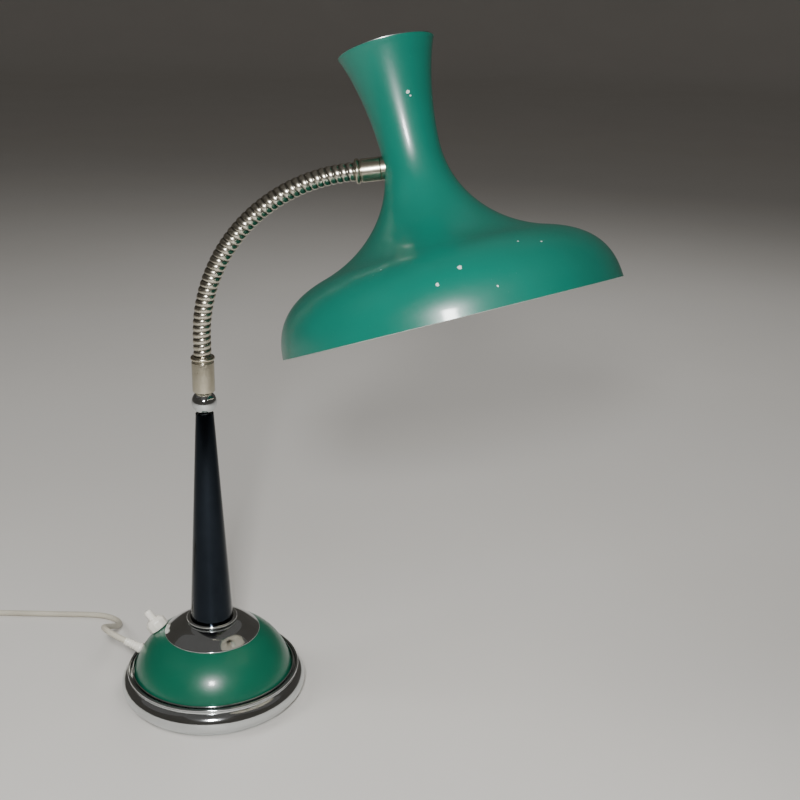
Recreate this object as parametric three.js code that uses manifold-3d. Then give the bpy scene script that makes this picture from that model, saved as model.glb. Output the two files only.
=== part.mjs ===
// Gooseneck desk lamp with a spun hourglass shade, a tapered column and a weighted round base.
// Millimetres, +Z up. The origin is the centre of the felt pad's underside, on the table.
// +X points along the gooseneck's plane towards the shade; +Y points behind the lamp.
//
// Lathe profiles are lists of [radius, height] that run anticlockwise, with the radius to the
// right and the height upwards, so the outer wall runs up and the inner wall runs down.

import * as THREE from 'three';
import { mergeVertices } from 'three/addons/utils/BufferGeometryUtils.js';
import Module from 'manifold-3d';

const wasm = await Module();
wasm.setup();

// ---------------------------------------------------------------- driving dimensions

// Clearances
const SEAT_GAP = 0.3;            // between two pieces that rest on each other
const BORE_CLEARANCE = 0.3;      // radial, a rod or neck in its hole
const RUNNING_CLEARANCE = 0.3;   // radial, a piece that slides or turns in another

// Foot: felt, ballast and the chrome rim that hides them
const FELT_THICK = 1.5;
const FOOT_R = 78.2;
const FOOT_LIFT = 1.0;           // the rim's lower edge above the table
const RIM_WALL = 1.2;
const BULGE_CENTRE_R = FOOT_R - 5.2;
const BULGE_CENTRE_Z = 12;
const BULGE_ARC_R = 11;
const LIP_CENTRE_R = FOOT_R - 1.3;
const LIP_CENTRE_Z = 25;
const LIP_BEAD_R = 1.4;
const LEDGE_Z = 23;              // the inner ledge that the dome and its trim ring stand on
const LEDGE_INNER_R = FOOT_R - 12.2;
const BALLAST_R = FOOT_R - 5.7;
const BALLAST_TOP_Z = 15;
const NUT_RECESS_CLEARANCE = 3;   // radial, round the washer
const NUT_RECESS_Z = 9.5;

// Enamelled dome, its trim ring and its cap
const DOME_ARC_R = 55;
const DOME_CENTRE_R = FOOT_R - 59.6;
const DOME_CENTRE_Z = 11.8;
const DOME_WALL = 1.0;
const DOME_TOP_R = DOME_CENTRE_R + 19.4;
const TRIM_WIDTH = 1.4;
const TRIM_TOP_Z = 27.3;
const CAP_R = DOME_CENTRE_R + 24.4;
const CAP_WALL = 1.0;
const CAP_TOP_Z = 73;
const CAP_CROWN = 2.2;           // how far the cap's slope bulges beyond a straight cone
const CAP_FLAT = 1;              // flat top beyond the column's foot
const CAP_EDGE_TURN = 0.2;       // how far the inner face drops at the edge, per wall thickness

// Column, ball and the hollow rod that ties the stack together
const ROD_R = 5;
const ROD_BORE_R = 3.2;
const ROD_SIDE_HOLE_R = 2.6;
const COLUMN_HEIGHT = 199.875;
const COLUMN_FOOT_R = 19.4;
const COLUMN_TOP_R = ROD_R + 2.8;
const COLUMN_WALL = 1.5;
const FOOT_RING_WIDTH = 3.2;
const ROD_SIDE_HOLE_Z = 34;      // where the lead enters the rod, above the ballast
const BALL_R = ROD_R + 5.9;
const NUT_ACROSS_FLATS = 3.2 * ROD_R;
const NUT_HEIGHT = 4.8;
const WASHER_R = ROD_R + 6;
const WASHER_THICK = 1.5;

// Gooseneck, built as short rigid links that nest like balls in cups
const NECK_R = 7.75;
const NECK_BORE_R = 3.4;
const NECK_LINKS = 14;
const NECK_STRAIGHT = 15;        // straight start, before the bend
const NECK_END_STRAIGHT = 5;     // straight end, after the bend
const NECK_BEND_R = 142.8;
const NECK_TURN = THREE.MathUtils.degToRad(82);
const NECK_BALL_R = NECK_R + 2.25; // the round end of a link, about its pivot
const NECK_BALL_CLEARANCE = 0.5;
const NECK_ROOT = 12;            // length of each end held in its ferrule
const NECK_ROOT_R = NECK_R - 0.85;
const NECK_ROOT_CLEARANCE = 0.6; // radial; the end links stand a little off their ferrules' axes

// Ferrules and beads at both ends of the gooseneck
const FERRULE_R = NECK_R + 1.85;
const BEAD_R = FERRULE_R + 0.7;
const BEAD_THICK = 4;
const FERRULE_FLOOR = 4;         // solid floor between the two bores of a ferrule
const ROD_DEPTH = 15.875;        // how far the rod is screwed into the lower ferrule
const NIPPLE_DEPTH = 4.924;      // how far the nipple is screwed into the upper ferrule

// Shade
const SHADE_TOP_R = 39.1;
const SHADE_WAIST_R = 24;
const SHADE_WAIST_DEPTH = 83;
const SHADE_BRIM_R = 92;         // where the flare turns over into the shoulder
const SHADE_BRIM_DEPTH = 167;
const SHADE_RIM_R = 140;
const SHADE_HEIGHT = 220.9;
const SHADE_WALL = 1.0;
const SHADE_MOUNT_DEPTH = 94.4;  // where the ferrule's axis crosses the shade's axis
const SHADE_LEAN = THREE.MathUtils.degToRad(7.4);    // flare of the wall at the ferrule
const SHADE_SWIVEL = THREE.MathUtils.degToRad(15.4); // rest position about the ferrule

// Nipple, nut and bracket inside the shade's waist
const NIPPLE_R = 5;
const NIPPLE_BORE_R = 3.2;
const NIPPLE_END = 1.5;          // how far it stands past its nut
const SADDLE_MIN_THICK = 0.8;
const BRACKET_WIDTH = 14;
const BRACKET_THICK = 1.2;
const BRACKET_RISE = 9;          // the upright leg's height above the nipple's axis
const BRACKET_SHELF_Z = -8;      // top of the shelf that carries the lamp holder
const BRACKET_REACH = 10;        // shelf length beyond the shade's axis
const NIPPLE_NUT_FLATS = 14;
const NIPPLE_NUT_HEIGHT = 3.5;
const NIPPLE_WASHER_R = 7.2;
const NIPPLE_WASHER_THICK = 1;

// Screw lamp holder and bulb
const HOLDER_R = 19;
const HOLDER_WALL = 1.6;
const HOLDER_CAP_HEIGHT = 13;
const HOLDER_SKIRT_HEIGHT = 28;
const HOLDER_NECK_R = 5;
const HOLDER_NECK_BORE_R = 3;
const HOLDER_NECK_PROUD = 2;      // above the shelf that it is screwed into
const HOLDER_SHOULDER_WIDTH = 6;
const HOLDER_SHOULDER_DROP = 2;
const INSERT_HEIGHT = 8;
const LINER_WALL = 0.6;
const LINER_HEIGHT = 20;
const BULB_CAP_R = 13.1;
const BULB_CAP_HEIGHT = 26;
const BULB_CAP_TAPER = 6;        // height of the tapered end with the centre contact
const BULB_CAP_TAPER_SHARE = 0.75; // radius half way up that taper, of the cap's radius
const BULB_R = 27.5;
const BULB_GLASS_HEIGHT = 67;
const BULB_GLASS_WALL = 0.9;
const BULB_NECK_HANDLES = [15, 12]; // of the curve from the belly to the cap

// Push switch on the dome
const SWITCH_AZIMUTH = THREE.MathUtils.degToRad(169);
const SWITCH_NECK_R = 5;
const SWITCH_BODY_R = 12;
const SWITCH_BODY_HEIGHT = 20;
const SWITCH_NUT_R = 9.4;
const SWITCH_NUT_HEIGHT = 10.5;
const SWITCH_NUT_CHAMFER = 3.2;
const SWITCH_CAP_GAP = 0.837;    // along the dome, between the nut and the chrome cap
const SWITCH_NUT_ROOF = 2;       // of the nut, over the body's neck
const SWITCH_BODY_ROOF = 1.5;
const SWITCH_BODY_FLOOR = 2;
const BUTTON_R = 3.65;
const BUTTON_PROUD = 9.5;        // above the nut when it is out
const BUTTON_CHAMFER = 1;
const BUTTON_FLANGE_R = 4.9;
const BUTTON_FLANGE_THICK = 1.5;
const SPRING_TURNS = 4;
const SPRING_WIRE_R = 0.45;
const SPRING_COIL_R = 3.4;

// Wiring inside the base
const LEAD_R = 1.6;
const TERMINAL_SIZE = [22, 14, 11];
const TERMINAL_PLACE = [30, -16];
const CLAMP_SIZE = [8, 16, 12.5];
const CLAMP_R = FOOT_R - 28.2;   // distance of the cord clamp from the lamp's axis
const CLAMP_HOLE_Z = 21.5;

// Mains cord, its bush and its plug
const CORD_R = 2.75;
const CORD_PITCH = 2 * CORD_R;
const CORD_BACK_Y = 123.75;      // the cord's last straight run, behind the lamp
const CORD_EXIT_AZIMUTH = THREE.MathUtils.degToRad(173);
const CORD_EXIT_TILT = THREE.MathUtils.degToRad(66);
const BUSH_COLLAR_R = 5;
const BUSH_COLLAR_THICK = 2.4;
const BUSH_NECK_R = 4.2;
const BUSH_TIP_R = 3.6;
const BUSH_OUTSIDE = 17;         // length outside the dome
const BUSH_INSIDE = 3.5;
const COIL_CENTRE_X = -300;
const COIL_MID_R = 6 * CORD_PITCH;
const COIL_TURNS_ACROSS = 4;
const COIL_LAYERS = 2;
const PLUG_WIDTH = 34;
const PLUG_THICK = 13.6;
const PLUG_LENGTH = 36;
const PLUG_TAIL = 9;
const PLUG_SHOULDER = 19.8;      // where the body reaches its full width
const PLUG_CORD_LENGTH = 28;     // between the coil and the plug
const PIN_R = 2;
const PIN_LENGTH = 19;
const PIN_SPACING = 18.6;

// The free cord from its bush to its coil: down to the table, back, and round to the left.
const CORD_ROUTE = [
  [-92.1, 12.6, 44.1],
  [-99.3, 17.2, 45.2],
  [-105, 23.7, 44.5],
  [-108.6, 31, 42.2],
  [-109.6, 38.6, 38.6],
  [-109.6, 48, 33.3],
  [-109.5, 60, 26.6],
  [-109.5, 72, 19.9],
  [-109.5, 84, 13.5],
  [-110.6, 96, 8.2],
  [-114, 107.3, CORD_R + 1.95],
  [-121.3, 116.4, CORD_R + 0.35],
  [-132.5, 122, CORD_R],
  [-147, CORD_BACK_Y, CORD_R],
  [-180, CORD_BACK_Y, CORD_R],
  [-215, CORD_BACK_Y, CORD_R],
  [-250, CORD_BACK_Y, CORD_R],
];

// Facets round a full turn
const FACETS_LARGE = 28;
const FACETS_MEDIUM = 16;
const FACETS_SMALL = 12;

// ---------------------------------------------------------------- materials

function finish(colour, roughness, metalness) {
  return new THREE.MeshStandardMaterial({ color: colour, roughness, metalness });
}

const GREEN_ENAMEL = finish(0x0f5f49, 0.35, 0.0);
const CHROME = finish(0xd4d6d8, 0.08, 1.0);
const NICKEL = finish(0xc2bda9, 0.22, 1.0);
const ZINC_STEEL = finish(0x9a9c9e, 0.4, 1.0);
const CAST_IRON = finish(0x4a4a4c, 0.8, 0.9);
const BRASS = finish(0xb89a55, 0.35, 1.0);
const FELT = finish(0x1d4a38, 1.0, 0.0);
const BLACK_BAKELITE = finish(0x1a1817, 0.35, 0.0);
const WHITE_UREA = finish(0xe9e7de, 0.35, 0.0);
const STEATITE = finish(0xe2ddcf, 0.5, 0.0);
const OPAL_GLASS = finish(0xf4f1e6, 0.25, 0.0);
const CORD_PVC = finish(0xb9b4a4, 0.5, 0.0);

// ---------------------------------------------------------------- building blocks

const lamp = new THREE.Group();

function addPiece(parent, name, geometry, material) {
  const mesh = new THREE.Mesh(geometry, material);
  mesh.name = name;
  parent.add(mesh);
  return mesh;
}

// A frame tilted from +Z towards +X, then turned about Z.
function place(position, tilt = 0, turn = 0) {
  const group = new THREE.Group();
  group.position.set(...position);
  group.rotation.set(0, tilt, turn, 'ZYX');
  group.updateMatrix();
  return group;
}

// Points on an arc in a profile; angles in degrees from the outward direction, anticlockwise.
function arc(centreR, centreZ, radius, fromDegrees, toDegrees, steps) {
  const points = [];
  for (let i = 0; i <= steps; i += 1) {
    const angle = THREE.MathUtils.degToRad(fromDegrees + ((toDegrees - fromDegrees) * i) / steps);
    points.push([centreR + radius * Math.cos(angle), centreZ + radius * Math.sin(angle)]);
  }
  return points;
}

// A solid of revolution about Z. A profile that doesn't start on the axis is closed on itself.
function lathe(profile, facets) {
  const points = profile.map(([r, z]) => new THREE.Vector2(r, z));
  if (points[0].x > 0) points.push(points[0].clone());
  return new THREE.LatheGeometry(points, facets).rotateX(Math.PI / 2);
}

function ring(innerR, outerR, lowZ, highZ, facets) {
  return lathe([[innerR, lowZ], [outerR, lowZ], [outerR, highZ], [innerR, highZ]], facets);
}

function disc(radius, lowZ, highZ, facets) {
  return lathe([[0, lowZ], [radius, lowZ], [radius, highZ], [0, highZ]], facets);
}

// Hexagonal nut on the Z axis with a round bore.
function hexNut(acrossFlats, boreR, lowZ, height) {
  const cornerR = acrossFlats / Math.sqrt(3);
  const outline = new THREE.Shape();
  for (let i = 0; i < 6; i += 1) {
    const angle = (i * Math.PI) / 3;
    const corner = [cornerR * Math.cos(angle), cornerR * Math.sin(angle)];
    if (i === 0) outline.moveTo(...corner);
    else outline.lineTo(...corner);
  }
  outline.closePath();
  const bore = new THREE.Path();
  bore.absarc(0, 0, boreR, 0, 2 * Math.PI, true);
  outline.holes.push(bore);
  const settings = { depth: height, bevelEnabled: false, curveSegments: FACETS_SMALL / 2 };
  return new THREE.ExtrudeGeometry(outline, settings).translate(0, 0, lowZ);
}

// A box with its lowest face at z.
function block([length, width, height], [x, y], z) {
  return new THREE.BoxGeometry(length, width, height).translate(x, y, z + height / 2);
}

// A round tube of solid section along a curve.
function tubeAlong(curve, radius, steps, sides) {
  const section = new THREE.Shape();
  for (let i = 0; i < sides; i += 1) {
    const angle = (2 * Math.PI * i) / sides;
    const point = [radius * Math.cos(angle), radius * Math.sin(angle)];
    if (i === 0) section.moveTo(...point);
    else section.lineTo(...point);
  }
  section.closePath();
  return new THREE.ExtrudeGeometry(section, { steps, extrudePath: curve, bevelEnabled: false });
}

function smoothCurve(points) {
  return new THREE.CatmullRomCurve3(points.map((p) => new THREE.Vector3(...p)), false, 'centripetal');
}

function toSolid(geometry) {
  const bare = geometry.clone();
  bare.deleteAttribute('normal');
  bare.deleteAttribute('uv');
  const merged = mergeVertices(bare, 1e-4);
  const mesh = new wasm.Mesh({
    numProp: 3,
    vertProperties: new Float32Array(merged.attributes.position.array),
    triVerts: new Uint32Array(merged.index.array),
  });
  return new wasm.Manifold(mesh);
}

function toGeometry(solid) {
  const mesh = solid.getMesh();
  const geometry = new THREE.BufferGeometry();
  geometry.setAttribute('position', new THREE.BufferAttribute(mesh.vertProperties, 3));
  geometry.setIndex(new THREE.BufferAttribute(mesh.triVerts, 1));
  return geometry;
}

function cut(geometry, ...tools) {
  return toGeometry(tools.reduce((solid, tool) => solid.subtract(toSolid(tool)), toSolid(geometry)));
}

// Moves every point of an open profile line to its right by a distance.
function offsetLine(points, distance) {
  return points.map((point, i) => {
    const before = points[Math.max(0, i - 1)];
    const after = points[Math.min(points.length - 1, i + 1)];
    const along = [after[0] - before[0], after[1] - before[1]];
    const size = Math.hypot(...along);
    return [point[0] + (distance * along[1]) / size, point[1] - (distance * along[0]) / size];
  });
}

function bezierLine(a, b, c, d, steps) {
  const curve = new THREE.CubicBezierCurve(...[a, b, c, d].map((p) => new THREE.Vector2(...p)));
  return curve.getPoints(steps).map((p) => [p.x, p.y]);
}

// ---------------------------------------------------------------- places on the dome

// Radius of the dome's outer face at a height.
function domeRadius(z) {
  return DOME_CENTRE_R + Math.sqrt(DOME_ARC_R ** 2 - (z - DOME_CENTRE_Z) ** 2);
}

// Height of the dome's outer face at a radius.
function domeHeight(r) {
  return DOME_CENTRE_Z + Math.sqrt(DOME_ARC_R ** 2 - (r - DOME_CENTRE_R) ** 2);
}

// A frame on the dome's face, with its Z axis along the outward normal.
function onDome(tilt, azimuth) {
  const radius = DOME_CENTRE_R + DOME_ARC_R * Math.sin(tilt);
  const height = DOME_CENTRE_Z + DOME_ARC_R * Math.cos(tilt);
  return place([radius * Math.cos(azimuth), radius * Math.sin(azimuth), height], tilt, azimuth);
}

// ---------------------------------------------------------------- values that follow

// Base stack, from the felt upwards
const ballastBottomZ = FELT_THICK + SEAT_GAP;
const rodBottomZ = ballastBottomZ + SEAT_GAP;
const nutRecessR = WASHER_R + NUT_RECESS_CLEARANCE;
const washerZ = NUT_RECESS_Z - SEAT_GAP - WASHER_THICK;
const baseNutZ = washerZ - SEAT_GAP - NUT_HEIGHT;
const footInnerR = FOOT_R - RIM_WALL;
const domeEdgeZ = LEDGE_Z + SEAT_GAP;
const rodHoleR = ROD_R + BORE_CLEARANCE;

// Column stack
const columnFootZ = CAP_TOP_Z + SEAT_GAP;
const footRingInnerR = COLUMN_FOOT_R + SEAT_GAP;
const ballFlatHalf = Math.sqrt(BALL_R ** 2 - rodHoleR ** 2);
const columnTopZ = columnFootZ + COLUMN_HEIGHT;
const ballZ = columnTopZ + SEAT_GAP + ballFlatHalf;
const ferruleBottomZ = ballZ + ballFlatHalf + SEAT_GAP;
const rootPocket = NECK_ROOT + SEAT_GAP + FERRULE_FLOOR;
const neckZ = ferruleBottomZ + ROD_DEPTH + rootPocket; // the flexible length starts here
const lowerBeadZ = neckZ - SEAT_GAP - BEAD_THICK;

// Gooseneck
const neckLength = NECK_STRAIGHT + NECK_BEND_R * NECK_TURN + NECK_END_STRAIGHT;
const linkLength = neckLength / NECK_LINKS;

// Parts on and in the dome
const capEdgeTilt = Math.asin((CAP_R - DOME_CENTRE_R) / DOME_ARC_R);
const switchTilt = capEdgeTilt + (SWITCH_NUT_R + SWITCH_CAP_GAP) / DOME_ARC_R;
const switchPlace = onDome(switchTilt, SWITCH_AZIMUTH);
const bushPlace = onDome(CORD_EXIT_TILT, CORD_EXIT_AZIMUTH);
const benchZ = BALLAST_TOP_Z + SEAT_GAP;
const terminalAzimuth = Math.atan2(TERMINAL_PLACE[1], TERMINAL_PLACE[0]);

// ---------------------------------------------------------------- base

function buildFoot() {
  addPiece(lamp, 'felt_pad', disc(footInnerR - SEAT_GAP, 0, FELT_THICK, FACETS_LARGE), FELT);

  const ballast = lathe([
    [nutRecessR, ballastBottomZ],
    [BALLAST_R, ballastBottomZ],
    [BALLAST_R, BALLAST_TOP_Z],
    [rodHoleR, BALLAST_TOP_Z],
    [rodHoleR, NUT_RECESS_Z],
    [nutRecessR, NUT_RECESS_Z],
  ], FACETS_LARGE);
  addPiece(lamp, 'ballast_weight', ballast, CAST_IRON);

  const innerArcR = BULGE_ARC_R - RIM_WALL;
  const footDegrees = THREE.MathUtils.radToDeg(Math.acos((FOOT_R - BULGE_CENTRE_R) / BULGE_ARC_R));
  const rim = lathe([
    [footInnerR, FOOT_LIFT],
    [FOOT_R, FOOT_LIFT],
    ...arc(BULGE_CENTRE_R, BULGE_CENTRE_Z, BULGE_ARC_R, -footDegrees, 72, 5),
    ...arc(LIP_CENTRE_R, LIP_CENTRE_Z, LIP_BEAD_R, -60, 180, 4),
    [LIP_CENTRE_R - LIP_BEAD_R, LEDGE_Z],
    [LEDGE_INNER_R, LEDGE_Z],
    [LEDGE_INNER_R, LEDGE_Z - RIM_WALL],
    ...arc(BULGE_CENTRE_R, BULGE_CENTRE_Z, innerArcR, 75, -footDegrees, 3),
    [footInnerR, BULGE_CENTRE_Z - innerArcR],
  ], FACETS_LARGE);
  addPiece(lamp, 'base_rim', rim, CHROME);
}

function buildDome() {
  const edgeDegrees = THREE.MathUtils.radToDeg(Math.asin((domeEdgeZ - DOME_CENTRE_Z) / DOME_ARC_R));
  const topDegrees = THREE.MathUtils.radToDeg(Math.acos((DOME_TOP_R - DOME_CENTRE_R) / DOME_ARC_R));
  const dome = lathe([
    ...arc(DOME_CENTRE_R, DOME_CENTRE_Z, DOME_ARC_R, edgeDegrees, topDegrees, 4),
    ...arc(DOME_CENTRE_R, DOME_CENTRE_Z, DOME_ARC_R - DOME_WALL, topDegrees, edgeDegrees, 4),
  ], FACETS_LARGE);
  const switchHole = disc(SWITCH_NECK_R + BORE_CLEARANCE, -8, 8, FACETS_SMALL);
  switchHole.applyMatrix4(switchPlace.matrix);
  const bushHole = disc(BUSH_NECK_R + BORE_CLEARANCE, -12, 12, FACETS_SMALL);
  bushHole.applyMatrix4(bushPlace.matrix);
  addPiece(lamp, 'base_dome', cut(dome, switchHole, bushHole), GREEN_ENAMEL);

  const trimOuterR = domeRadius(domeEdgeZ) + SEAT_GAP + TRIM_WIDTH;
  const trimInnerR = trimOuterR - TRIM_WIDTH;
  const trim = lathe([
    [trimInnerR, domeEdgeZ],
    [trimOuterR, domeEdgeZ],
    ...arc(trimOuterR - TRIM_WIDTH / 2, TRIM_TOP_Z - TRIM_WIDTH / 2, TRIM_WIDTH / 2, 0, 180, 3),
  ], FACETS_LARGE);
  addPiece(lamp, 'trim_ring', trim, CHROME);
}

// The cap's slope from its edge to the column, as a line bulging outwards.
function capSlope(inset) {
  const steps = 3;
  const edge = [CAP_R - inset, domeHeight(CAP_R - inset) + SEAT_GAP + CAP_WALL - inset * CAP_EDGE_TURN];
  const top = [COLUMN_FOOT_R + CAP_FLAT, CAP_TOP_Z - inset];
  const line = [];
  for (let i = 0; i <= steps; i += 1) {
    const t = i / steps;
    const bulge = CAP_CROWN * Math.sin(Math.PI * t);
    line.push([edge[0] + (top[0] - edge[0]) * t, edge[1] + (top[1] - edge[1]) * t + bulge]);
  }
  return line;
}

function buildCapAndColumn() {
  const capBoreR = COLUMN_FOOT_R - 2 * COLUMN_WALL;
  const edgeZ = domeHeight(CAP_R) + SEAT_GAP;
  const innerEdgeR = CAP_R - CAP_WALL;
  const cap = lathe([
    [innerEdgeR, domeHeight(innerEdgeR) + SEAT_GAP],
    [CAP_R, edgeZ],
    ...capSlope(0),
    [capBoreR, CAP_TOP_Z],
    [capBoreR, CAP_TOP_Z - CAP_WALL],
    ...capSlope(CAP_WALL).reverse(),
  ], FACETS_LARGE);
  addPiece(lamp, 'dome_cap', cap, CHROME);

  const footRing = lathe([
    [footRingInnerR, columnFootZ],
    ...arc(footRingInnerR + FOOT_RING_WIDTH / 2, columnFootZ + FOOT_RING_WIDTH / 2,
      FOOT_RING_WIDTH / 2, -90, 90, 3),
    [footRingInnerR, columnFootZ + FOOT_RING_WIDTH],
  ], FACETS_LARGE);
  addPiece(lamp, 'column_foot_ring', footRing, CHROME);

  const column = lathe([
    [COLUMN_FOOT_R - COLUMN_WALL, columnFootZ],
    [COLUMN_FOOT_R, columnFootZ],
    [COLUMN_TOP_R, columnTopZ],
    [rodHoleR, columnTopZ],
    [rodHoleR, columnTopZ - 2 * COLUMN_WALL],
    [COLUMN_TOP_R - COLUMN_WALL, columnTopZ - 2 * COLUMN_WALL],
  ], FACETS_MEDIUM);
  addPiece(lamp, 'column', column, CHROME);

  const ballDegrees = THREE.MathUtils.radToDeg(Math.acos(rodHoleR / BALL_R));
  addPiece(lamp, 'ball_knob',
    lathe(arc(0, ballZ, BALL_R, -ballDegrees, ballDegrees, 6), FACETS_MEDIUM), CHROME);
}

function buildRod() {
  const rodTopZ = ferruleBottomZ + ROD_DEPTH;
  const sideHole = disc(ROD_SIDE_HOLE_R, 0, 2 * ROD_R, FACETS_SMALL);
  const rodTube = ring(ROD_BORE_R, ROD_R, rodBottomZ, rodTopZ, FACETS_SMALL);
  sideHole.applyMatrix4(place([0, 0, ROD_SIDE_HOLE_Z], Math.PI / 2, terminalAzimuth).matrix);
  addPiece(lamp, 'tie_rod', cut(rodTube, sideHole), ZINC_STEEL);
  addPiece(lamp, 'rod_washer', ring(rodHoleR, WASHER_R, washerZ, washerZ + WASHER_THICK, FACETS_SMALL),
    ZINC_STEEL);
  addPiece(lamp, 'rod_nut', hexNut(NUT_ACROSS_FLATS, rodHoleR, baseNutZ, NUT_HEIGHT), ZINC_STEEL);
}

// ---------------------------------------------------------------- gooseneck and its ferrules

// A point on the gooseneck's centre line, by the length along it.
function neckPoint(length) {
  const bent = THREE.MathUtils.clamp(length - NECK_STRAIGHT, 0, NECK_BEND_R * NECK_TURN);
  const angle = bent / NECK_BEND_R;
  const start = Math.min(length, NECK_STRAIGHT);
  const end = Math.max(0, length - NECK_STRAIGHT - bent);
  const across = NECK_BEND_R * (1 - Math.cos(angle)) + end * Math.sin(angle);
  const up = start + NECK_BEND_R * Math.sin(angle) + end * Math.cos(angle);
  return [across, 0, neckZ + up];
}

// The round end of a link, or the cup that holds it, about the link's pivot.
function nestLine(centreZ, ballR, steps) {
  const outer = -THREE.MathUtils.radToDeg(Math.acos(NECK_R / ballR));
  const inner = -THREE.MathUtils.radToDeg(Math.acos(NECK_BORE_R / ballR));
  return arc(0, centreZ, ballR, outer, inner, steps);
}

function buildNeck() {
  const cupR = NECK_BALL_R + NECK_BALL_CLEARANCE;
  for (let i = 0; i < NECK_LINKS; i += 1) {
    const start = neckPoint(i * linkLength);
    const end = neckPoint((i + 1) * linkLength);
    const heading = Math.atan2(end[0] - start[0], end[2] - start[2]);
    const span = Math.hypot(end[0] - start[0], end[2] - start[2]);
    const first = i === 0;
    const last = i === NECK_LINKS - 1;
    const lowEnd = first
      ? [[NECK_BORE_R, -NECK_ROOT], [NECK_ROOT_R, -NECK_ROOT], [NECK_ROOT_R, 0], [NECK_R, 0]]
      : nestLine(0, NECK_BALL_R, 2).reverse();
    const highEnd = last
      ? [[NECK_R, span], [NECK_ROOT_R, span], [NECK_ROOT_R, span + NECK_ROOT], [NECK_BORE_R, span + NECK_ROOT]]
      : nestLine(span, cupR, 2);
    const number = String(i + 1).padStart(2, '0');
    const link = addPiece(lamp, `gooseneck_${number}`, lathe([...lowEnd, ...highEnd], FACETS_SMALL), NICKEL);
    link.position.set(...start);
    link.rotation.y = heading;
  }
}

// A ferrule with its neck socket at the top and its rod or nipple bore at the bottom.
function ferruleProfile(bottomZ, topZ, boreDepth, boreR) {
  const socketR = NECK_ROOT_R + NECK_ROOT_CLEARANCE;
  const socketZ = bottomZ + boreDepth + FERRULE_FLOOR;
  return lathe([
    [boreR, bottomZ],
    [FERRULE_R, bottomZ],
    [FERRULE_R, topZ],
    [socketR, topZ],
    [socketR, socketZ],
    [NECK_BORE_R, socketZ],
    [NECK_BORE_R, bottomZ + boreDepth],
    [boreR, bottomZ + boreDepth],
  ], FACETS_MEDIUM);
}

function bead(lowZ) {
  const innerR = NECK_ROOT_R + NECK_ROOT_CLEARANCE;
  const halfThick = BEAD_THICK / 2;
  return lathe([
    [innerR, lowZ],
    ...arc(BEAD_R - halfThick, lowZ + halfThick, halfThick, -90, 90, 3),
    [innerR, lowZ + BEAD_THICK],
  ], FACETS_MEDIUM);
}

function buildLowerFerrule() {
  const ferrule = ferruleProfile(ferruleBottomZ, lowerBeadZ - SEAT_GAP, ROD_DEPTH, rodHoleR);
  addPiece(lamp, 'lower_ferrule', ferrule, NICKEL);
  addPiece(lamp, 'lower_bead', bead(lowerBeadZ), NICKEL);
}

// ---------------------------------------------------------------- shade outline

// The shade's frame has its origin where the ferrule's axis crosses the shade's axis, with Z
// up the shade's axis and the ferrule arriving from the -X side.

// The outer face from the rim up to the mouth: shoulder, flare and funnel.
function shadeOuterLine() {
  const rim = [SHADE_RIM_R, SHADE_MOUNT_DEPTH - SHADE_HEIGHT];
  const brim = [SHADE_BRIM_R, SHADE_MOUNT_DEPTH - SHADE_BRIM_DEPTH];
  const waist = [SHADE_WAIST_R, SHADE_MOUNT_DEPTH - SHADE_WAIST_DEPTH];
  const mouth = [SHADE_TOP_R, SHADE_MOUNT_DEPTH];
  const shoulder = bezierLine(rim, [rim[0] - 1, rim[1] + 29], [brim[0] + 30, brim[1] - 8.5], brim, 5);
  const flare = bezierLine(brim, [brim[0] - 40, brim[1] + 12], [waist[0], waist[1] - 39], waist, 5);
  const funnel = bezierLine(waist, [waist[0], waist[1] + 28], [mouth[0] - 8.6, mouth[1] - 21.5], mouth, 3);
  return [...shoulder, ...flare.slice(1), ...funnel.slice(1)];
}

function radiusAt(line, z) {
  const i = line.findIndex((point) => point[1] >= z);
  const [low, high] = [line[i - 1], line[i]];
  return low[0] + ((high[0] - low[0]) * (z - low[1])) / (high[1] - low[1]);
}

// Distance from the shade's axis to a wall, back along the ferrule's axis.
function reachToWall(line) {
  let reach = SHADE_WAIST_R;
  for (let i = 0; i < 8; i += 1) {
    reach = radiusAt(line, reach * Math.sin(SHADE_LEAN)) / Math.cos(SHADE_LEAN);
  }
  return reach;
}

const outerLine = shadeOuterLine();
const innerLine = offsetLine(outerLine, -SHADE_WALL);
const outerReach = reachToWall(outerLine);
const innerReach = reachToWall(innerLine);

// Distances back along the ferrule's axis from the shade's axis
const saddleReach = outerReach + SEAT_GAP + SADDLE_MIN_THICK;
const ferruleReach = saddleReach + SEAT_GAP;
const mountReach = ferruleReach + NIPPLE_DEPTH + rootPocket; // from the end of the gooseneck
const bracketReach = Math.sqrt(innerReach ** 2 - (BRACKET_WIDTH / 2) ** 2) - 2 * SEAT_GAP;
const nippleWasherReach = bracketReach - BRACKET_THICK - SEAT_GAP;
const nippleNutReach = nippleWasherReach - NIPPLE_WASHER_THICK - SEAT_GAP;
const nippleEndReach = nippleNutReach - NIPPLE_NUT_HEIGHT - NIPPLE_END;

// The head turns with the gooseneck's end: its Z axis is the ferrule's axis.
const head = place(neckPoint(neckLength), NECK_TURN);
const shadeFrame = place([0, 0, mountReach], -Math.PI / 2 - SHADE_LEAN, -SHADE_SWIVEL);
const ferruleAxisInShade = place([0, 0, 0], Math.PI / 2 + SHADE_LEAN).matrix;
lamp.add(head);
head.add(shadeFrame);

// ---------------------------------------------------------------- head: ferrule and nipple

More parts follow.
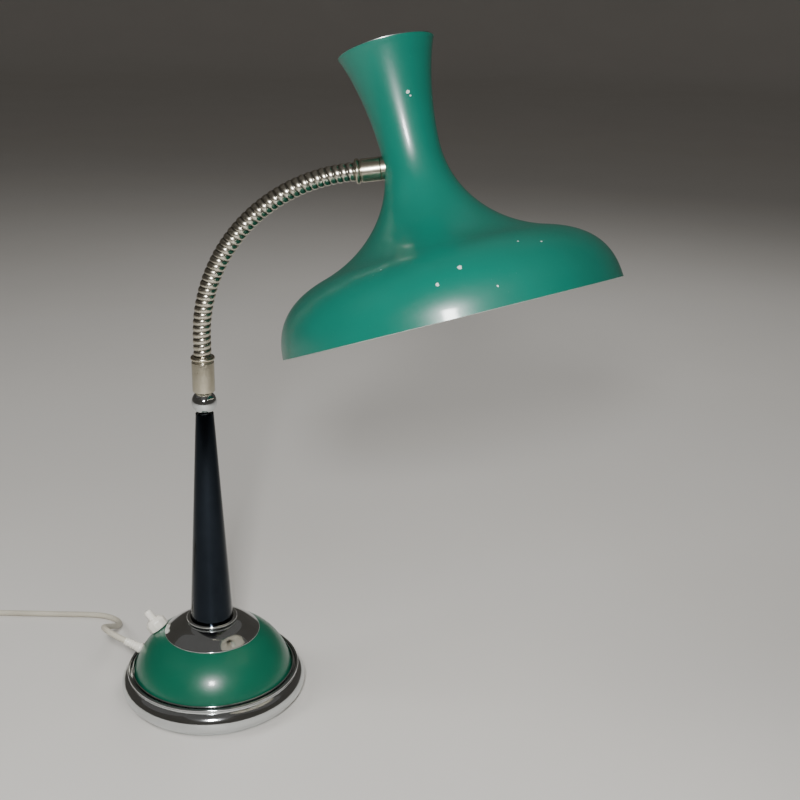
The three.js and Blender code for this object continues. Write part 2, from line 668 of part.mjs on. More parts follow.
function buildHead() {
  const bottomZ = mountReach - ferruleReach;
  const topZ = SEAT_GAP + BEAD_THICK + SEAT_GAP;
  const ferrule = ferruleProfile(-bottomZ, -topZ, NIPPLE_DEPTH, NIPPLE_R + BORE_CLEARANCE);
  addPiece(head, 'upper_ferrule', ferrule.rotateX(Math.PI), NICKEL);
  addPiece(head, 'upper_bead', bead(SEAT_GAP), NICKEL);

  const nippleStart = bottomZ - NIPPLE_DEPTH + SEAT_GAP;
  const nippleEnd = mountReach - nippleEndReach;
  addPiece(head, 'shade_nipple', ring(NIPPLE_BORE_R, NIPPLE_R, nippleStart, nippleEnd, FACETS_SMALL), BRASS);
  const washerStart = mountReach - nippleWasherReach;
  const washer = ring(NIPPLE_R + BORE_CLEARANCE, NIPPLE_WASHER_R, washerStart,
    washerStart + NIPPLE_WASHER_THICK, FACETS_SMALL);
  addPiece(head, 'nipple_washer', washer, ZINC_STEEL);
  const nut = hexNut(NIPPLE_NUT_FLATS, NIPPLE_R + BORE_CLEARANCE,
    mountReach - nippleNutReach, NIPPLE_NUT_HEIGHT);
  addPiece(head, 'nipple_nut', nut, BRASS);
}

// ---------------------------------------------------------------- shade, bracket and holder

function buildShade() {
  const shell = lathe([...outerLine, ...innerLine.slice().reverse()], FACETS_LARGE);
  const hole = disc(NIPPLE_R + BORE_CLEARANCE, -saddleReach, -nippleEndReach, FACETS_SMALL);
  hole.applyMatrix4(ferruleAxisInShade);
  addPiece(shadeFrame, 'shade', cut(shell, hole), GREEN_ENAMEL);

  const grown = offsetLine(outerLine, SEAT_GAP);
  const grownCore = lathe([[0, grown[0][1]], ...grown, [0, grown[grown.length - 1][1]]], FACETS_LARGE);
  const collar = ring(NIPPLE_R + BORE_CLEARANCE, FERRULE_R, -saddleReach, -nippleEndReach, FACETS_MEDIUM);
  collar.applyMatrix4(ferruleAxisInShade);
  addPiece(shadeFrame, 'saddle_collar', cut(collar, grownCore), NICKEL);
}

// A point in the bracket's side view: a reach back along the ferrule's axis and a rise across it.
function besideAxis(reach, rise) {
  const [c, s] = [Math.cos(SHADE_LEAN), Math.sin(SHADE_LEAN)];
  return [-reach * c + rise * s, reach * s + rise * c];
}

function buildBracket() {
  const innerFace = bracketReach - BRACKET_THICK;
  const shelfBottom = BRACKET_SHELF_Z - BRACKET_THICK;
  const riseTo = (z, reach) => (z - reach * Math.sin(SHADE_LEAN)) / Math.cos(SHADE_LEAN);
  const outline = new THREE.Shape([
    besideAxis(bracketReach, BRACKET_RISE),
    besideAxis(bracketReach, riseTo(shelfBottom, bracketReach)),
    [BRACKET_REACH, shelfBottom],
    [BRACKET_REACH, BRACKET_SHELF_Z],
    besideAxis(innerFace, riseTo(BRACKET_SHELF_Z, innerFace)),
    besideAxis(innerFace, BRACKET_RISE),
  ].map((p) => new THREE.Vector2(...p)));
  const strip = new THREE.ExtrudeGeometry(outline, { depth: BRACKET_WIDTH, bevelEnabled: false })
    .translate(0, 0, -BRACKET_WIDTH / 2)
    .rotateX(Math.PI / 2);
  const nippleHole = disc(NIPPLE_R + BORE_CLEARANCE, -saddleReach, -nippleEndReach, FACETS_SMALL);
  nippleHole.applyMatrix4(ferruleAxisInShade);
  const holderHole = disc(HOLDER_NECK_R + BORE_CLEARANCE, shelfBottom - 1, BRACKET_SHELF_Z + 1, FACETS_SMALL);
  addPiece(shadeFrame, 'holder_bracket', cut(strip, nippleHole, holderHole), ZINC_STEEL);
}

function buildHolder() {
  const capTop = BRACKET_SHELF_Z - BRACKET_THICK - SEAT_GAP;
  const capBottom = capTop - HOLDER_CAP_HEIGHT;
  const innerR = HOLDER_R - HOLDER_WALL;
  const shoulderR = HOLDER_R / 2;
  const shoulderZ = capTop - HOLDER_CAP_HEIGHT / 2;
  const neckTop = BRACKET_SHELF_Z + HOLDER_NECK_PROUD;
  const cap = lathe([
    [innerR, capBottom],
    [HOLDER_R, capBottom],
    [HOLDER_R, shoulderZ],
    [shoulderR + HOLDER_SHOULDER_WIDTH, capTop - HOLDER_SHOULDER_DROP],
    [shoulderR, capTop],
    [HOLDER_NECK_R, capTop],
    [HOLDER_NECK_R, neckTop],
    [HOLDER_NECK_BORE_R, neckTop],
    [HOLDER_NECK_BORE_R, capTop - HOLDER_WALL],
    [shoulderR, capTop - HOLDER_WALL],
    [innerR, shoulderZ - HOLDER_WALL],
  ], FACETS_MEDIUM);
  addPiece(shadeFrame, 'holder_cap', cap, BLACK_BAKELITE);

  const skirtTop = capBottom - SEAT_GAP;
  const skirtBottom = skirtTop - HOLDER_SKIRT_HEIGHT;
  addPiece(shadeFrame, 'holder_skirt', ring(innerR, HOLDER_R, skirtBottom, skirtTop, FACETS_MEDIUM),
    BLACK_BAKELITE);

  const insertTop = skirtTop - SEAT_GAP;
  const insertBottom = insertTop - INSERT_HEIGHT;
  const insert = ring(HOLDER_NECK_BORE_R, innerR - RUNNING_CLEARANCE, insertBottom, insertTop, FACETS_MEDIUM);
  addPiece(shadeFrame, 'holder_insert', insert, STEATITE);
  const contactTop = insertBottom - SEAT_GAP;
  const contactBottom = contactTop - LINER_WALL;
  addPiece(shadeFrame, 'centre_contact', disc(HOLDER_NECK_R, contactBottom, contactTop, FACETS_SMALL), BRASS);
  const linerR = BULB_CAP_R + RUNNING_CLEARANCE;
  const liner = ring(linerR, linerR + LINER_WALL, contactTop - LINER_HEIGHT, contactTop, FACETS_MEDIUM);
  addPiece(shadeFrame, 'holder_liner', liner, BRASS);

  const bulbCapTop = contactBottom - SEAT_GAP;
  const bulbCapBottom = bulbCapTop - BULB_CAP_HEIGHT;
  const bulbCap = lathe([
    [0, bulbCapBottom],
    [BULB_CAP_R, bulbCapBottom],
    [BULB_CAP_R, bulbCapTop - BULB_CAP_TAPER],
    [BULB_CAP_R * BULB_CAP_TAPER_SHARE, bulbCapTop - BULB_CAP_TAPER / 2],
    [HOLDER_NECK_R, bulbCapTop],
    [0, bulbCapTop],
  ], FACETS_MEDIUM);
  addPiece(shadeFrame, 'bulb_cap', bulbCap, BRASS);

  const glassTop = bulbCapBottom - SEAT_GAP;
  const bellyZ = glassTop - BULB_GLASS_HEIGHT + BULB_R;
  const lower = arc(0, bellyZ, BULB_R, -90, 0, 4);
  lower[0][0] = 0;
  const neck = bezierLine([BULB_R, bellyZ], [BULB_R, bellyZ + BULB_NECK_HANDLES[0]],
    [BULB_CAP_R, glassTop - BULB_NECK_HANDLES[1]], [BULB_CAP_R, glassTop], 3);
  const glassOuter = [...lower, ...neck.slice(1)];
  const glassInner = offsetLine(glassOuter, -BULB_GLASS_WALL);
  glassInner[0] = [0, glassOuter[0][1] + BULB_GLASS_WALL];
  addPiece(shadeFrame, 'bulb_glass', lathe([...glassOuter, ...glassInner.reverse()], FACETS_MEDIUM), OPAL_GLASS);

  const leadStart = besideAxis(nippleEndReach - SEAT_GAP, 0);
  const lead = new THREE.CubicBezierCurve3(
    new THREE.Vector3(leadStart[0], 0, leadStart[1]),
    new THREE.Vector3(-4, 0, 0.5),
    new THREE.Vector3(0, 0, neckTop + 3.5),
    new THREE.Vector3(0, 0, neckTop - 4),
  );
  addPiece(shadeFrame, 'holder_lead', tubeAlong(lead, LEAD_R, 8, 8), CORD_PVC);
}

// ---------------------------------------------------------------- switch

class SpringCurve extends THREE.Curve {
  constructor(radius, lowZ, highZ, turns) {
    super();
    Object.assign(this, { radius, lowZ, highZ, turns });
  }

  getPoint(t, target = new THREE.Vector3()) {
    const angle = 2 * Math.PI * this.turns * t;
    const height = this.lowZ + (this.highZ - this.lowZ) * t;
    return target.set(this.radius * Math.cos(angle), this.radius * Math.sin(angle), height);
  }
}

function buildSwitch() {
  lamp.add(switchPlace);
  const innerArcR = DOME_ARC_R - DOME_WALL;
  const domeHollow = innerArcR - Math.sqrt(innerArcR ** 2 - SWITCH_BODY_R ** 2);
  const bodyTop = -(DOME_WALL + domeHollow + 2 * SEAT_GAP);
  const bodyBottom = bodyTop - SWITCH_BODY_HEIGHT;
  const nutTop = SEAT_GAP + SWITCH_NUT_HEIGHT;
  const neckTop = nutTop - SWITCH_NUT_ROOF;
  const cavityTop = bodyTop - SWITCH_BODY_ROOF;
  const cavityBottom = bodyBottom + SWITCH_BODY_FLOOR;
  const cavityR = BUTTON_FLANGE_R + RUNNING_CLEARANCE;
  const buttonHoleR = BUTTON_R + RUNNING_CLEARANCE;

  const body = lathe([
    [0, bodyBottom],
    [SWITCH_BODY_R, bodyBottom],
    [SWITCH_BODY_R, bodyTop],
    [SWITCH_NECK_R, bodyTop],
    [SWITCH_NECK_R, neckTop],
    [buttonHoleR, neckTop],
    [buttonHoleR, cavityTop],
    [cavityR, cavityTop],
    [cavityR, cavityBottom],
    [0, cavityBottom],
  ], FACETS_MEDIUM);
  addPiece(switchPlace, 'switch_body', body, BLACK_BAKELITE);

  const nut = lathe([
    [SWITCH_NECK_R + BORE_CLEARANCE, SEAT_GAP],
    [SWITCH_NUT_R, SEAT_GAP],
    [SWITCH_NUT_R, nutTop - SWITCH_NUT_CHAMFER],
    [SWITCH_NUT_R - SWITCH_NUT_CHAMFER, nutTop],
    [buttonHoleR, nutTop],
    [buttonHoleR, neckTop + SEAT_GAP],
    [SWITCH_NECK_R + BORE_CLEARANCE, neckTop + SEAT_GAP],
  ], FACETS_MEDIUM);
  addPiece(switchPlace, 'switch_nut', nut, WHITE_UREA);

  const flangeTop = cavityTop - SEAT_GAP;
  const flangeBottom = flangeTop - BUTTON_FLANGE_THICK;
  const buttonTop = nutTop + BUTTON_PROUD;
  const button = lathe([
    [0, flangeBottom],
    [BUTTON_FLANGE_R, flangeBottom],
    [BUTTON_FLANGE_R, flangeTop],
    [BUTTON_R, flangeTop],
    [BUTTON_R, buttonTop - BUTTON_CHAMFER],
    [BUTTON_R - BUTTON_CHAMFER, buttonTop],
    [0, buttonTop],
  ], FACETS_SMALL);
  addPiece(switchPlace, 'switch_button', button, WHITE_UREA);

  const springEnd = SPRING_WIRE_R + SEAT_GAP;
  const spring = new SpringCurve(SPRING_COIL_R, cavityBottom + springEnd, flangeBottom - springEnd, SPRING_TURNS);
  addPiece(switchPlace, 'switch_spring', tubeAlong(spring, SPRING_WIRE_R, SPRING_TURNS * 10, 4), ZINC_STEEL);
}

// ---------------------------------------------------------------- wiring inside

// A point in a local frame, in the lamp's frame.
function inLamp(frame, x, y, z) {
  return new THREE.Vector3(x, y, z).applyMatrix4(frame.matrix).toArray();
}

function buildWiring() {
  const terminal = block(TERMINAL_SIZE, TERMINAL_PLACE, benchZ);
  addPiece(lamp, 'terminal_block', terminal, STEATITE);

  const clampPlace = place([0, 0, 0], 0, CORD_EXIT_AZIMUTH);
  const clampHole = disc(CORD_R + 3 * BORE_CLEARANCE, -CLAMP_SIZE[0], CLAMP_SIZE[0], FACETS_SMALL);
  clampHole.rotateY(Math.PI / 2).translate(CLAMP_R, 0, CLAMP_HOLE_Z);
  const clamp = cut(block(CLAMP_SIZE, [CLAMP_R, 0], benchZ), clampHole);
  addPiece(lamp, 'cord_clamp', clamp.applyMatrix4(clampPlace.matrix), BLACK_BAKELITE);

  const tail = smoothCurve([
    inLamp(bushPlace, 0, 0, -BUSH_INSIDE - 2 * SEAT_GAP),
    inLamp(bushPlace, 0, 0, -BUSH_INSIDE - 3.5),
    inLamp(clampPlace, CLAMP_R + 5, 0, CLAMP_HOLE_Z + 0.6),
    inLamp(clampPlace, CLAMP_R, 0, CLAMP_HOLE_Z),
    inLamp(clampPlace, CLAMP_R - 6, 0, CLAMP_HOLE_Z),
    [-30, -6, 21.5],
    [-8, -15.5, 21],
    [8, -16.5, 21],
    [TERMINAL_PLACE[0] - TERMINAL_SIZE[0] / 2 - 2 * SEAT_GAP, TERMINAL_PLACE[1], benchZ + TERMINAL_SIZE[2] / 2],
  ]);
  addPiece(lamp, 'cord_tail', tubeAlong(tail, CORD_R, 22, 8), CORD_PVC);

  const switchDrop = -(SWITCH_BODY_HEIGHT + 4);
  const switchLead = smoothCurve([
    inLamp(switchPlace, 0, 0, switchDrop),
    inLamp(switchPlace, 0, 0, switchDrop - 6),
    [-20, 13, 25],
    [0, 18, 22],
    [22, 10, 21.5],
    [TERMINAL_PLACE[0], 0, 21],
    [TERMINAL_PLACE[0], TERMINAL_PLACE[1] + TERMINAL_SIZE[1] / 2 + 2 * SEAT_GAP, benchZ + TERMINAL_SIZE[2] / 2],
  ]);
  addPiece(lamp, 'switch_lead', tubeAlong(switchLead, LEAD_R, 20, 6), CORD_PVC);

  const turn = place([0, 0, 0], 0, terminalAzimuth);
  const terminalR = Math.hypot(...TERMINAL_PLACE);
  const baseLead = smoothCurve([
    inLamp(turn, terminalR, 0, benchZ + TERMINAL_SIZE[2] + 2 * SEAT_GAP),
    inLamp(turn, terminalR - 0.5, 0, benchZ + TERMINAL_SIZE[2] + 4),
    inLamp(turn, terminalR - 12, 0, ROD_SIDE_HOLE_Z + 0.5),
    inLamp(turn, ROD_R + 4, 0, ROD_SIDE_HOLE_Z),
    inLamp(turn, ROD_BORE_R, 0, ROD_SIDE_HOLE_Z),
  ]);
  addPiece(lamp, 'base_lead', tubeAlong(baseLead, LEAD_R, 10, 6), CORD_PVC);
}

// ---------------------------------------------------------------- mains cord and plug

function buildCord() {
  lamp.add(bushPlace);
  const bush = lathe([
    [0, -BUSH_INSIDE],
    [BUSH_NECK_R, -BUSH_INSIDE],
    [BUSH_NECK_R, 2 * SEAT_GAP],
    [BUSH_COLLAR_R, 2 * SEAT_GAP],
    [BUSH_COLLAR_R, BUSH_COLLAR_THICK],
    [BUSH_NECK_R, BUSH_COLLAR_THICK + 1],
    [BUSH_TIP_R, BUSH_OUTSIDE],
    [0, BUSH_OUTSIDE],
  ], FACETS_SMALL);
  addPiece(bushPlace, 'cord_bush', bush, WHITE_UREA);

  const start = inLamp(bushPlace, 0, 0, BUSH_OUTSIDE + 2 * SEAT_GAP);
  const coilHalfWidth = (COIL_TURNS_ACROSS * CORD_PITCH) / 2;
  const coilOuterR = COIL_MID_R + coilHalfWidth;
  const outerTurnR = coilOuterR - CORD_R;
  const coilY = CORD_BACK_Y - outerTurnR;
  const touch = Math.sqrt(coilOuterR ** 2 - (outerTurnR - CORD_R) ** 2) + 2 * SEAT_GAP;
  const route = smoothCurve([start, ...CORD_ROUTE, [COIL_CENTRE_X + touch, CORD_BACK_Y, CORD_R]]);
  addPiece(lamp, 'mains_cord', tubeAlong(route, CORD_R, 36, 8), CORD_PVC);

  const coil = ring(COIL_MID_R - coilHalfWidth, coilOuterR, 0, COIL_LAYERS * CORD_PITCH, FACETS_MEDIUM);
  addPiece(lamp, 'cord_coil', coil.translate(COIL_CENTRE_X, coilY, 0), CORD_PVC);

  // The cord's end comes off the coil's top layer and falls to the plug.
  const plugX = COIL_CENTRE_X - outerTurnR;
  const topLayerZ = CORD_R + (COIL_LAYERS - 1) * CORD_PITCH;
  const endY = coilY - touch;
  const tailY = endY - PLUG_CORD_LENGTH;
  const end = smoothCurve([
    [plugX, endY, topLayerZ],
    [plugX, endY - PLUG_CORD_LENGTH / 2, (topLayerZ + PLUG_THICK / 2) / 2],
    [plugX, tailY + CORD_PITCH, PLUG_THICK / 2],
    [plugX, tailY, PLUG_THICK / 2],
  ]);
  addPiece(lamp, 'plug_cord', tubeAlong(end, CORD_R, 6, 8), CORD_PVC);
  buildPlug(place([plugX, tailY - SEAT_GAP, PLUG_THICK / 2], 0, -Math.PI / 2));
}

// The plug lies flat with its length along its frame's X axis, pins away from the cord.
function buildPlug(plugPlace) {
  lamp.add(plugPlace);
  const half = PLUG_WIDTH / 2;
  const outline = new THREE.Shape([
    [0, -PLUG_TAIL / 2],
    [PLUG_TAIL, -PLUG_TAIL / 2],
    [PLUG_SHOULDER, -half],
    [PLUG_LENGTH, -half],
    [PLUG_LENGTH, half],
    [PLUG_SHOULDER, half],
    [PLUG_TAIL, PLUG_TAIL / 2],
    [0, PLUG_TAIL / 2],
  ].map((p) => new THREE.Vector2(...p)));
  const body = new THREE.ExtrudeGeometry(outline, { depth: PLUG_THICK, bevelEnabled: false });
  addPiece(plugPlace, 'plug_body', body.translate(0, 0, -PLUG_THICK / 2), WHITE_UREA);
  [-1, 1].forEach((side, i) => {
    const pin = disc(PIN_R, PLUG_LENGTH + SEAT_GAP, PLUG_LENGTH + PIN_LENGTH, FACETS_SMALL);
    pin.rotateY(Math.PI / 2).translate(0, (side * PIN_SPACING) / 2, 0);
    addPiece(plugPlace, `plug_pin_${i + 1}`, pin, BRASS);
  });
}

buildFoot();
buildDome();
buildCapAndColumn();
buildRod();
buildNeck();
buildLowerFerrule();
buildHead();
buildShade();
buildBracket();
buildHolder();
buildSwitch();
buildWiring();
buildCord();

export default lamp;
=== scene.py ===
import math

import bmesh
import bpy
from mathutils import Matrix, Vector
from mathutils.geometry import interpolate_bezier


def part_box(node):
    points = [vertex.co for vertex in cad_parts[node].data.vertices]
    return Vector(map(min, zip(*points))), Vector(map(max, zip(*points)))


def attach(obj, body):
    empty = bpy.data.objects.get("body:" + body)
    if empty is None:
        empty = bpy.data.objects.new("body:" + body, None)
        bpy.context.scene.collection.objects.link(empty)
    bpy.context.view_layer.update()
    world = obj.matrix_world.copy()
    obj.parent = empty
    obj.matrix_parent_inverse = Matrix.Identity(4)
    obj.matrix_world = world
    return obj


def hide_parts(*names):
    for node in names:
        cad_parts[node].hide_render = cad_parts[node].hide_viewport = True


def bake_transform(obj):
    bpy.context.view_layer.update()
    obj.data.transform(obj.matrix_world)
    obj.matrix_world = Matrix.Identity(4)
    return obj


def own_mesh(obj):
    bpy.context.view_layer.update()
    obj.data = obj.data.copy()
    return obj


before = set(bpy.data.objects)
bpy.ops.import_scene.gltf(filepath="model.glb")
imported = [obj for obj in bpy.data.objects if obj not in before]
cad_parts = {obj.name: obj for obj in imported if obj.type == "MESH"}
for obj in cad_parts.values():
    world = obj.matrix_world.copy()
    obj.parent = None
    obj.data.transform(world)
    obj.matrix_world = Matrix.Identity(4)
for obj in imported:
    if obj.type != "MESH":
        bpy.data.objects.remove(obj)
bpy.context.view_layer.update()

# ------------------------------------------------------------------ table, light and camera
# The lamp stands on a pale floor that sweeps up far away. Soft lights hang to the left, in front
# and behind, a small one stands beside the camera, and a dim grey room fills the shadows.

MM = 0.001


def linear(hex_code):
    """An sRGB colour such as "#d8d5cf" as linear red, green, blue and alpha."""
    channels = [int(hex_code[i:i + 2], 16) / 255 for i in (1, 3, 5)]
    return (*[c / 12.92 if c <= 0.04045 else ((c + 0.055) / 1.055) ** 2.4 for c in channels], 1.0)


def add_node(tree, kind, inputs=None, **settings):
    """Adds a node; inputs gives each socket, by name or number, a value or a socket to link from."""
    node = tree.nodes.new(kind)
    for setting, value in settings.items():
        setattr(node, setting, value)
    for key, value in (inputs or {}).items():
        if isinstance(value, bpy.types.NodeSocket):
            tree.links.new(value, node.inputs[key])
        else:
            node.inputs[key].default_value = value
    return node


def new_object(name, data):
    thing = bpy.data.objects.new(name, data)
    bpy.context.scene.collection.objects.link(thing)
    return thing


def new_material(name, **values):
    """A Principled material; a value such as coat_weight=0.3 goes to the shader's own socket."""
    material = bpy.data.materials.new(name)
    material.use_nodes = True
    tree = material.node_tree
    shader = tree.nodes["Principled BSDF"]
    for key, value in values.items():
        shader.inputs[key.replace("_", " ").title().replace("Ior", "IOR")].default_value = value
    return material, tree


def noise(tree, scale, detail=2.0, grain=0.5, warp=0.0):
    """A noise laid through the piece in its own coordinates, which are metres."""
    spot = add_node(tree, "ShaderNodeTexCoord").outputs["Object"]
    clouds = add_node(tree, "ShaderNodeTexNoise", {
        "Vector": spot, "Scale": scale, "Detail": detail, "Roughness": grain, "Distortion": warp})
    return clouds.outputs["Fac"]


def mixed(tree, factor, low, high):
    """One colour going to another by a factor. Each is a hex code or a socket."""
    low, high = (linear(tone) if isinstance(tone, str) else tone for tone in (low, high))
    return add_node(tree, "ShaderNodeMix", {"Factor": factor, 6: low, 7: high}, data_type="RGBA").outputs[2]


def feed(tree, socket, value):
    """Links a value to one of the finish's own sockets."""
    tree.links.new(value, tree.nodes["Principled BSDF"].inputs[socket])


TABLE_SIZE = 24.0
TABLE_FLAT_R = 7.0
TABLE_SWEEP = 0.3

# Matt lacquered board: smooth and pale, with no pattern of its own beyond a faint mottle.
table_paint, tree = new_material("matt_white_lacquer", roughness=0.55)
feed(tree, "Base Color", mixed(tree, noise(tree, 3.0, 3.0), "#cfccc6", "#d6d3ce"))

bpy.ops.mesh.primitive_grid_add(x_subdivisions=96, y_subdivisions=96, size=TABLE_SIZE)
table = bpy.context.object
for vertex in table.data.vertices:
    beyond = max(0, math.hypot(vertex.co.x, vertex.co.y) - TABLE_FLAT_R)
    vertex.co.z = TABLE_SWEEP * beyond ** 2
table.data.shade_smooth()
table.name = "table_top"
table.data.materials.append(table_paint)


def soft_light(name, size, watts, place, target, mirrored=True):
    """A square lamp of some size in metres, turned to face a point."""
    data = bpy.data.lights.new(name, "AREA")
    data.shape = "SQUARE"
    data.size = size
    data.energy = watts
    lamp_object = new_object(name, data)
    facing = (Vector(target) - Vector(place)).to_track_quat("-Z", "Y")
    lamp_object.matrix_world = Matrix.Translation(place) @ facing.to_matrix().to_4x4()
    lamp_object.visible_glossy = mirrored


soft_light("window_light", 0.9, 13, (-1.3, -0.35, 1.5), (0.05, 0, 0.3), mirrored=False)
soft_light("camera_light", 0.14, 16, (0.1, -1.05, 0.84), (0.09, 0, 0.3))
soft_light("front_light", 0.9, 7, (0.7, -1.0, 1.3), (0.12, 0, 0.3), mirrored=False)
soft_light("back_light", 1.2, 12, (0.6, 1.3, 1.6), (0.1, 0, 0.2), mirrored=False)

room = bpy.data.worlds.new("grey_room")
bpy.context.scene.world = room
room.use_nodes = True
room.node_tree.nodes["Background"].inputs["Color"].default_value = linear("#a6a3a0")
room.node_tree.nodes["Background"].inputs["Strength"].default_value = 0.3

CAMERA_PLACE = (0.168, -0.970, 0.630)
CAMERA_DOWN = 19.4
CAMERA_ROLL = 1.2
lens = bpy.data.cameras.new("camera")
lens.lens = 54
lens.sensor_width = 36
camera = new_object("camera", lens)
camera.matrix_world = (
    Matrix.Translation(CAMERA_PLACE)
    @ Matrix.Rotation(math.radians(90 - CAMERA_DOWN), 4, "X")
    @ Matrix.Rotation(math.radians(CAMERA_ROLL), 4, "Z")
)
bpy.context.scene.camera = camera

# ------------------------------------------------------------------ mains cord
# Round two-core flex with an off-white PVC sheath. It leaves the dome's bush, bends back and down
# to the table, and its spare length is wound beside the lamp, out of sight, in two flat layers.

CORD_R = 2.75 * MM
DOME_CENTRE_R = 18.6
DOME_CENTRE_Z = 11.8
DOME_ARC_R = 55


def on_dome(tilt, azimuth):
    """A frame in millimetres on the dome's face: its Z axis leaves along the normal."""
    tilt, azimuth = math.radians(tilt), math.radians(azimuth)
    reach = DOME_CENTRE_R + DOME_ARC_R * math.sin(tilt)
    height = DOME_CENTRE_Z + DOME_ARC_R * math.cos(tilt)
    place = Matrix.Translation((reach * math.cos(azimuth), reach * math.sin(azimuth), height))
    return place @ Matrix.Rotation(azimuth, 4, "Z") @ Matrix.Rotation(tilt, 4, "Y")


def make_piece(name, shape, materials, sharp=38):
    """Turns a bmesh in metres into an object at the origin, smooth between its sharp edges."""
    mesh = bpy.data.meshes.new(name)
    shape.to_mesh(mesh)
    shape.free()
    for material in materials:
        mesh.materials.append(material)
    mesh.shade_smooth()
    mesh.set_sharp_from_angle(angle=math.radians(sharp))
    return new_object(name, mesh)


def settle(piece, body, slot, *nodes):
    """The piece takes its body and stands for its CAD nodes. The slot is not used."""
    if nodes:
        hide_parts(*nodes)
    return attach(piece, body)


def smooth_line(points, step):
    """Points at an even step, in metres, along one smooth curve through the given points."""
    points = [Vector(p) for p in points]
    ends = [2 * points[0] - points[1], *points, 2 * points[-1] - points[-2]]
    fine = []
    for before, start, end, after in zip(ends, ends[1:], ends[2:], ends[3:]):
        third = (end - start).length / 3
        leave = start + (end - before).normalized() * third
        arrive = end - (after - start).normalized() * third
        fine += interpolate_bezier(start, leave, arrive, end, 24)[:-1]
    fine.append(points[-1])
    line, walked, wanted = [fine[0]], 0.0, step
    for start, end in zip(fine, fine[1:]):
        size = (end - start).length
        while wanted <= walked + size:
            line.append(start.lerp(end, (wanted - walked) / size))
            wanted += step
        walked += size
    line[-1] = fine[-1]
    return line


def tube(name, line, radius, sides, materials):
    """A closed tube along a line. Its UV map holds metres along the line in V."""
    shape = bmesh.new()
    uv = shape.loops.layers.uv.new("surface")
    rings, travel, side = [], [0.0], Vector((0, 0, 1))
    for i, point in enumerate(line):
        along = (line[min(i + 1, len(line) - 1)] - line[max(i - 1, 0)]).normalized()
        side = (side - along * side.dot(along)).normalized()
        other = along.cross(side)
        if i:
            travel.append(travel[-1] + (point - line[i - 1]).length)
        rings.append([
            shape.verts.new(point + radius * (math.cos(a) * side + math.sin(a) * other))
            for a in (2 * math.pi * k / sides for k in range(sides))
        ])
    for i, (low, high) in enumerate(zip(rings, rings[1:])):
        for k in range(sides):
            n = (k + 1) % sides
            face = shape.faces.new((low[k], low[n], high[n], high[k]))
            spots = ((k, i), (k + 1, i), (k + 1, i + 1), (k, i + 1))
            for loop, (around, far) in zip(face.loops, spots):
                loop[uv].uv = (around / sides, travel[far])
    shape.faces.new(reversed(rings[0]))
    shape.faces.new(rings[-1])
    return make_piece(name, shape, materials, sharp=60)


def emboss(tree, height, strength, distance):
    """Raises the surface a little by a height, at most by the distance in metres."""
    relief = add_node(tree, "ShaderNodeBump", {
        "Height": height, "Strength": strength, "Distance": distance})
    feed(tree, "Normal", relief.outputs["Normal"])


# Extruded PVC: matt and slightly soft, greyed by handling, with faint die lines along it.
cord_pvc, tree = new_material("extruded_pvc", roughness=0.48, ior=1.52, specular_ior_level=0.4)
spot = add_node(tree, "ShaderNodeTexCoord")
feed(tree, "Base Color", mixed(tree, noise(tree, 38.0, 4.0), "#c9c4b4", "#a8a293"))
stretched = add_node(tree, "ShaderNodeMapping", {"Vector": spot.outputs["UV"], "Scale": (26.0, 9.0, 1.0)})
die_lines = add_node(tree, "ShaderNodeTexNoise", {"Vector": stretched.outputs["Vector"], "Scale": 1.0})
emboss(tree, die_lines.outputs["Fac"], 0.12, 0.0003)

BUSH_TILT = 66
BUSH_AZIMUTH = 173
BUSH_OUTSIDE = 17
SEAT_GAP = 0.3
bush_place = on_dome(BUSH_TILT, BUSH_AZIMUTH)
bush_end = bush_place @ Vector((0, 0, BUSH_OUTSIDE)) * MM

ROUTE = [
    (-0.0921, 0.0126, 0.0441), (-0.0993, 0.0172, 0.0452), (-0.105, 0.0237, 0.0445),
    (-0.1086, 0.031, 0.0422), (-0.1096, 0.0386, 0.0386), (-0.1096, 0.048, 0.0333),
    (-0.1095, 0.060, 0.0266), (-0.1095, 0.072, 0.0199), (-0.1095, 0.084, 0.0135),
    (-0.1106, 0.096, 0.0082), (-0.114, 0.1073, 0.0047), (-0.1213, 0.1164, 0.0031),
    (-0.1325, 0.122, CORD_R), (-0.147, 0.12375, CORD_R), (-0.180, 0.12375, CORD_R),
    (-0.215, 0.12375, CORD_R), (-0.250, 0.12375, CORD_R),
]

COIL_CENTRE = Vector((-0.300, 0.0825, 0))
PITCH = 2 * CORD_R
TURNS_ACROSS = 4
COIL_MID_R = 0.033
COIL_OUTER_R = COIL_MID_R + PITCH * (TURNS_ACROSS - 1) / 2
POINTS_PER_TURN = 24
LAYER_TURNS = TURNS_ACROSS - 1
RISE_TUCK = 0.0026
coil_line = []
for i in range(int((2 * LAYER_TURNS + 1.25) * POINTS_PER_TURN) + 1):
    turn = i / POINTS_PER_TURN
    rise = min(max(turn - LAYER_TURNS, 0), 1)
    inwards = min(turn, LAYER_TURNS) - min(max(turn - LAYER_TURNS - 1, 0), LAYER_TURNS)
    angle = math.radians(90) + 2 * math.pi * turn
    radius = COIL_OUTER_R - PITCH * inwards - RISE_TUCK * math.sin(math.pi * rise)
    height = CORD_R + PITCH * rise * rise * (3 - 2 * rise)
    coil_line.append(COIL_CENTRE + Vector((radius * math.cos(angle), radius * math.sin(angle), height)))

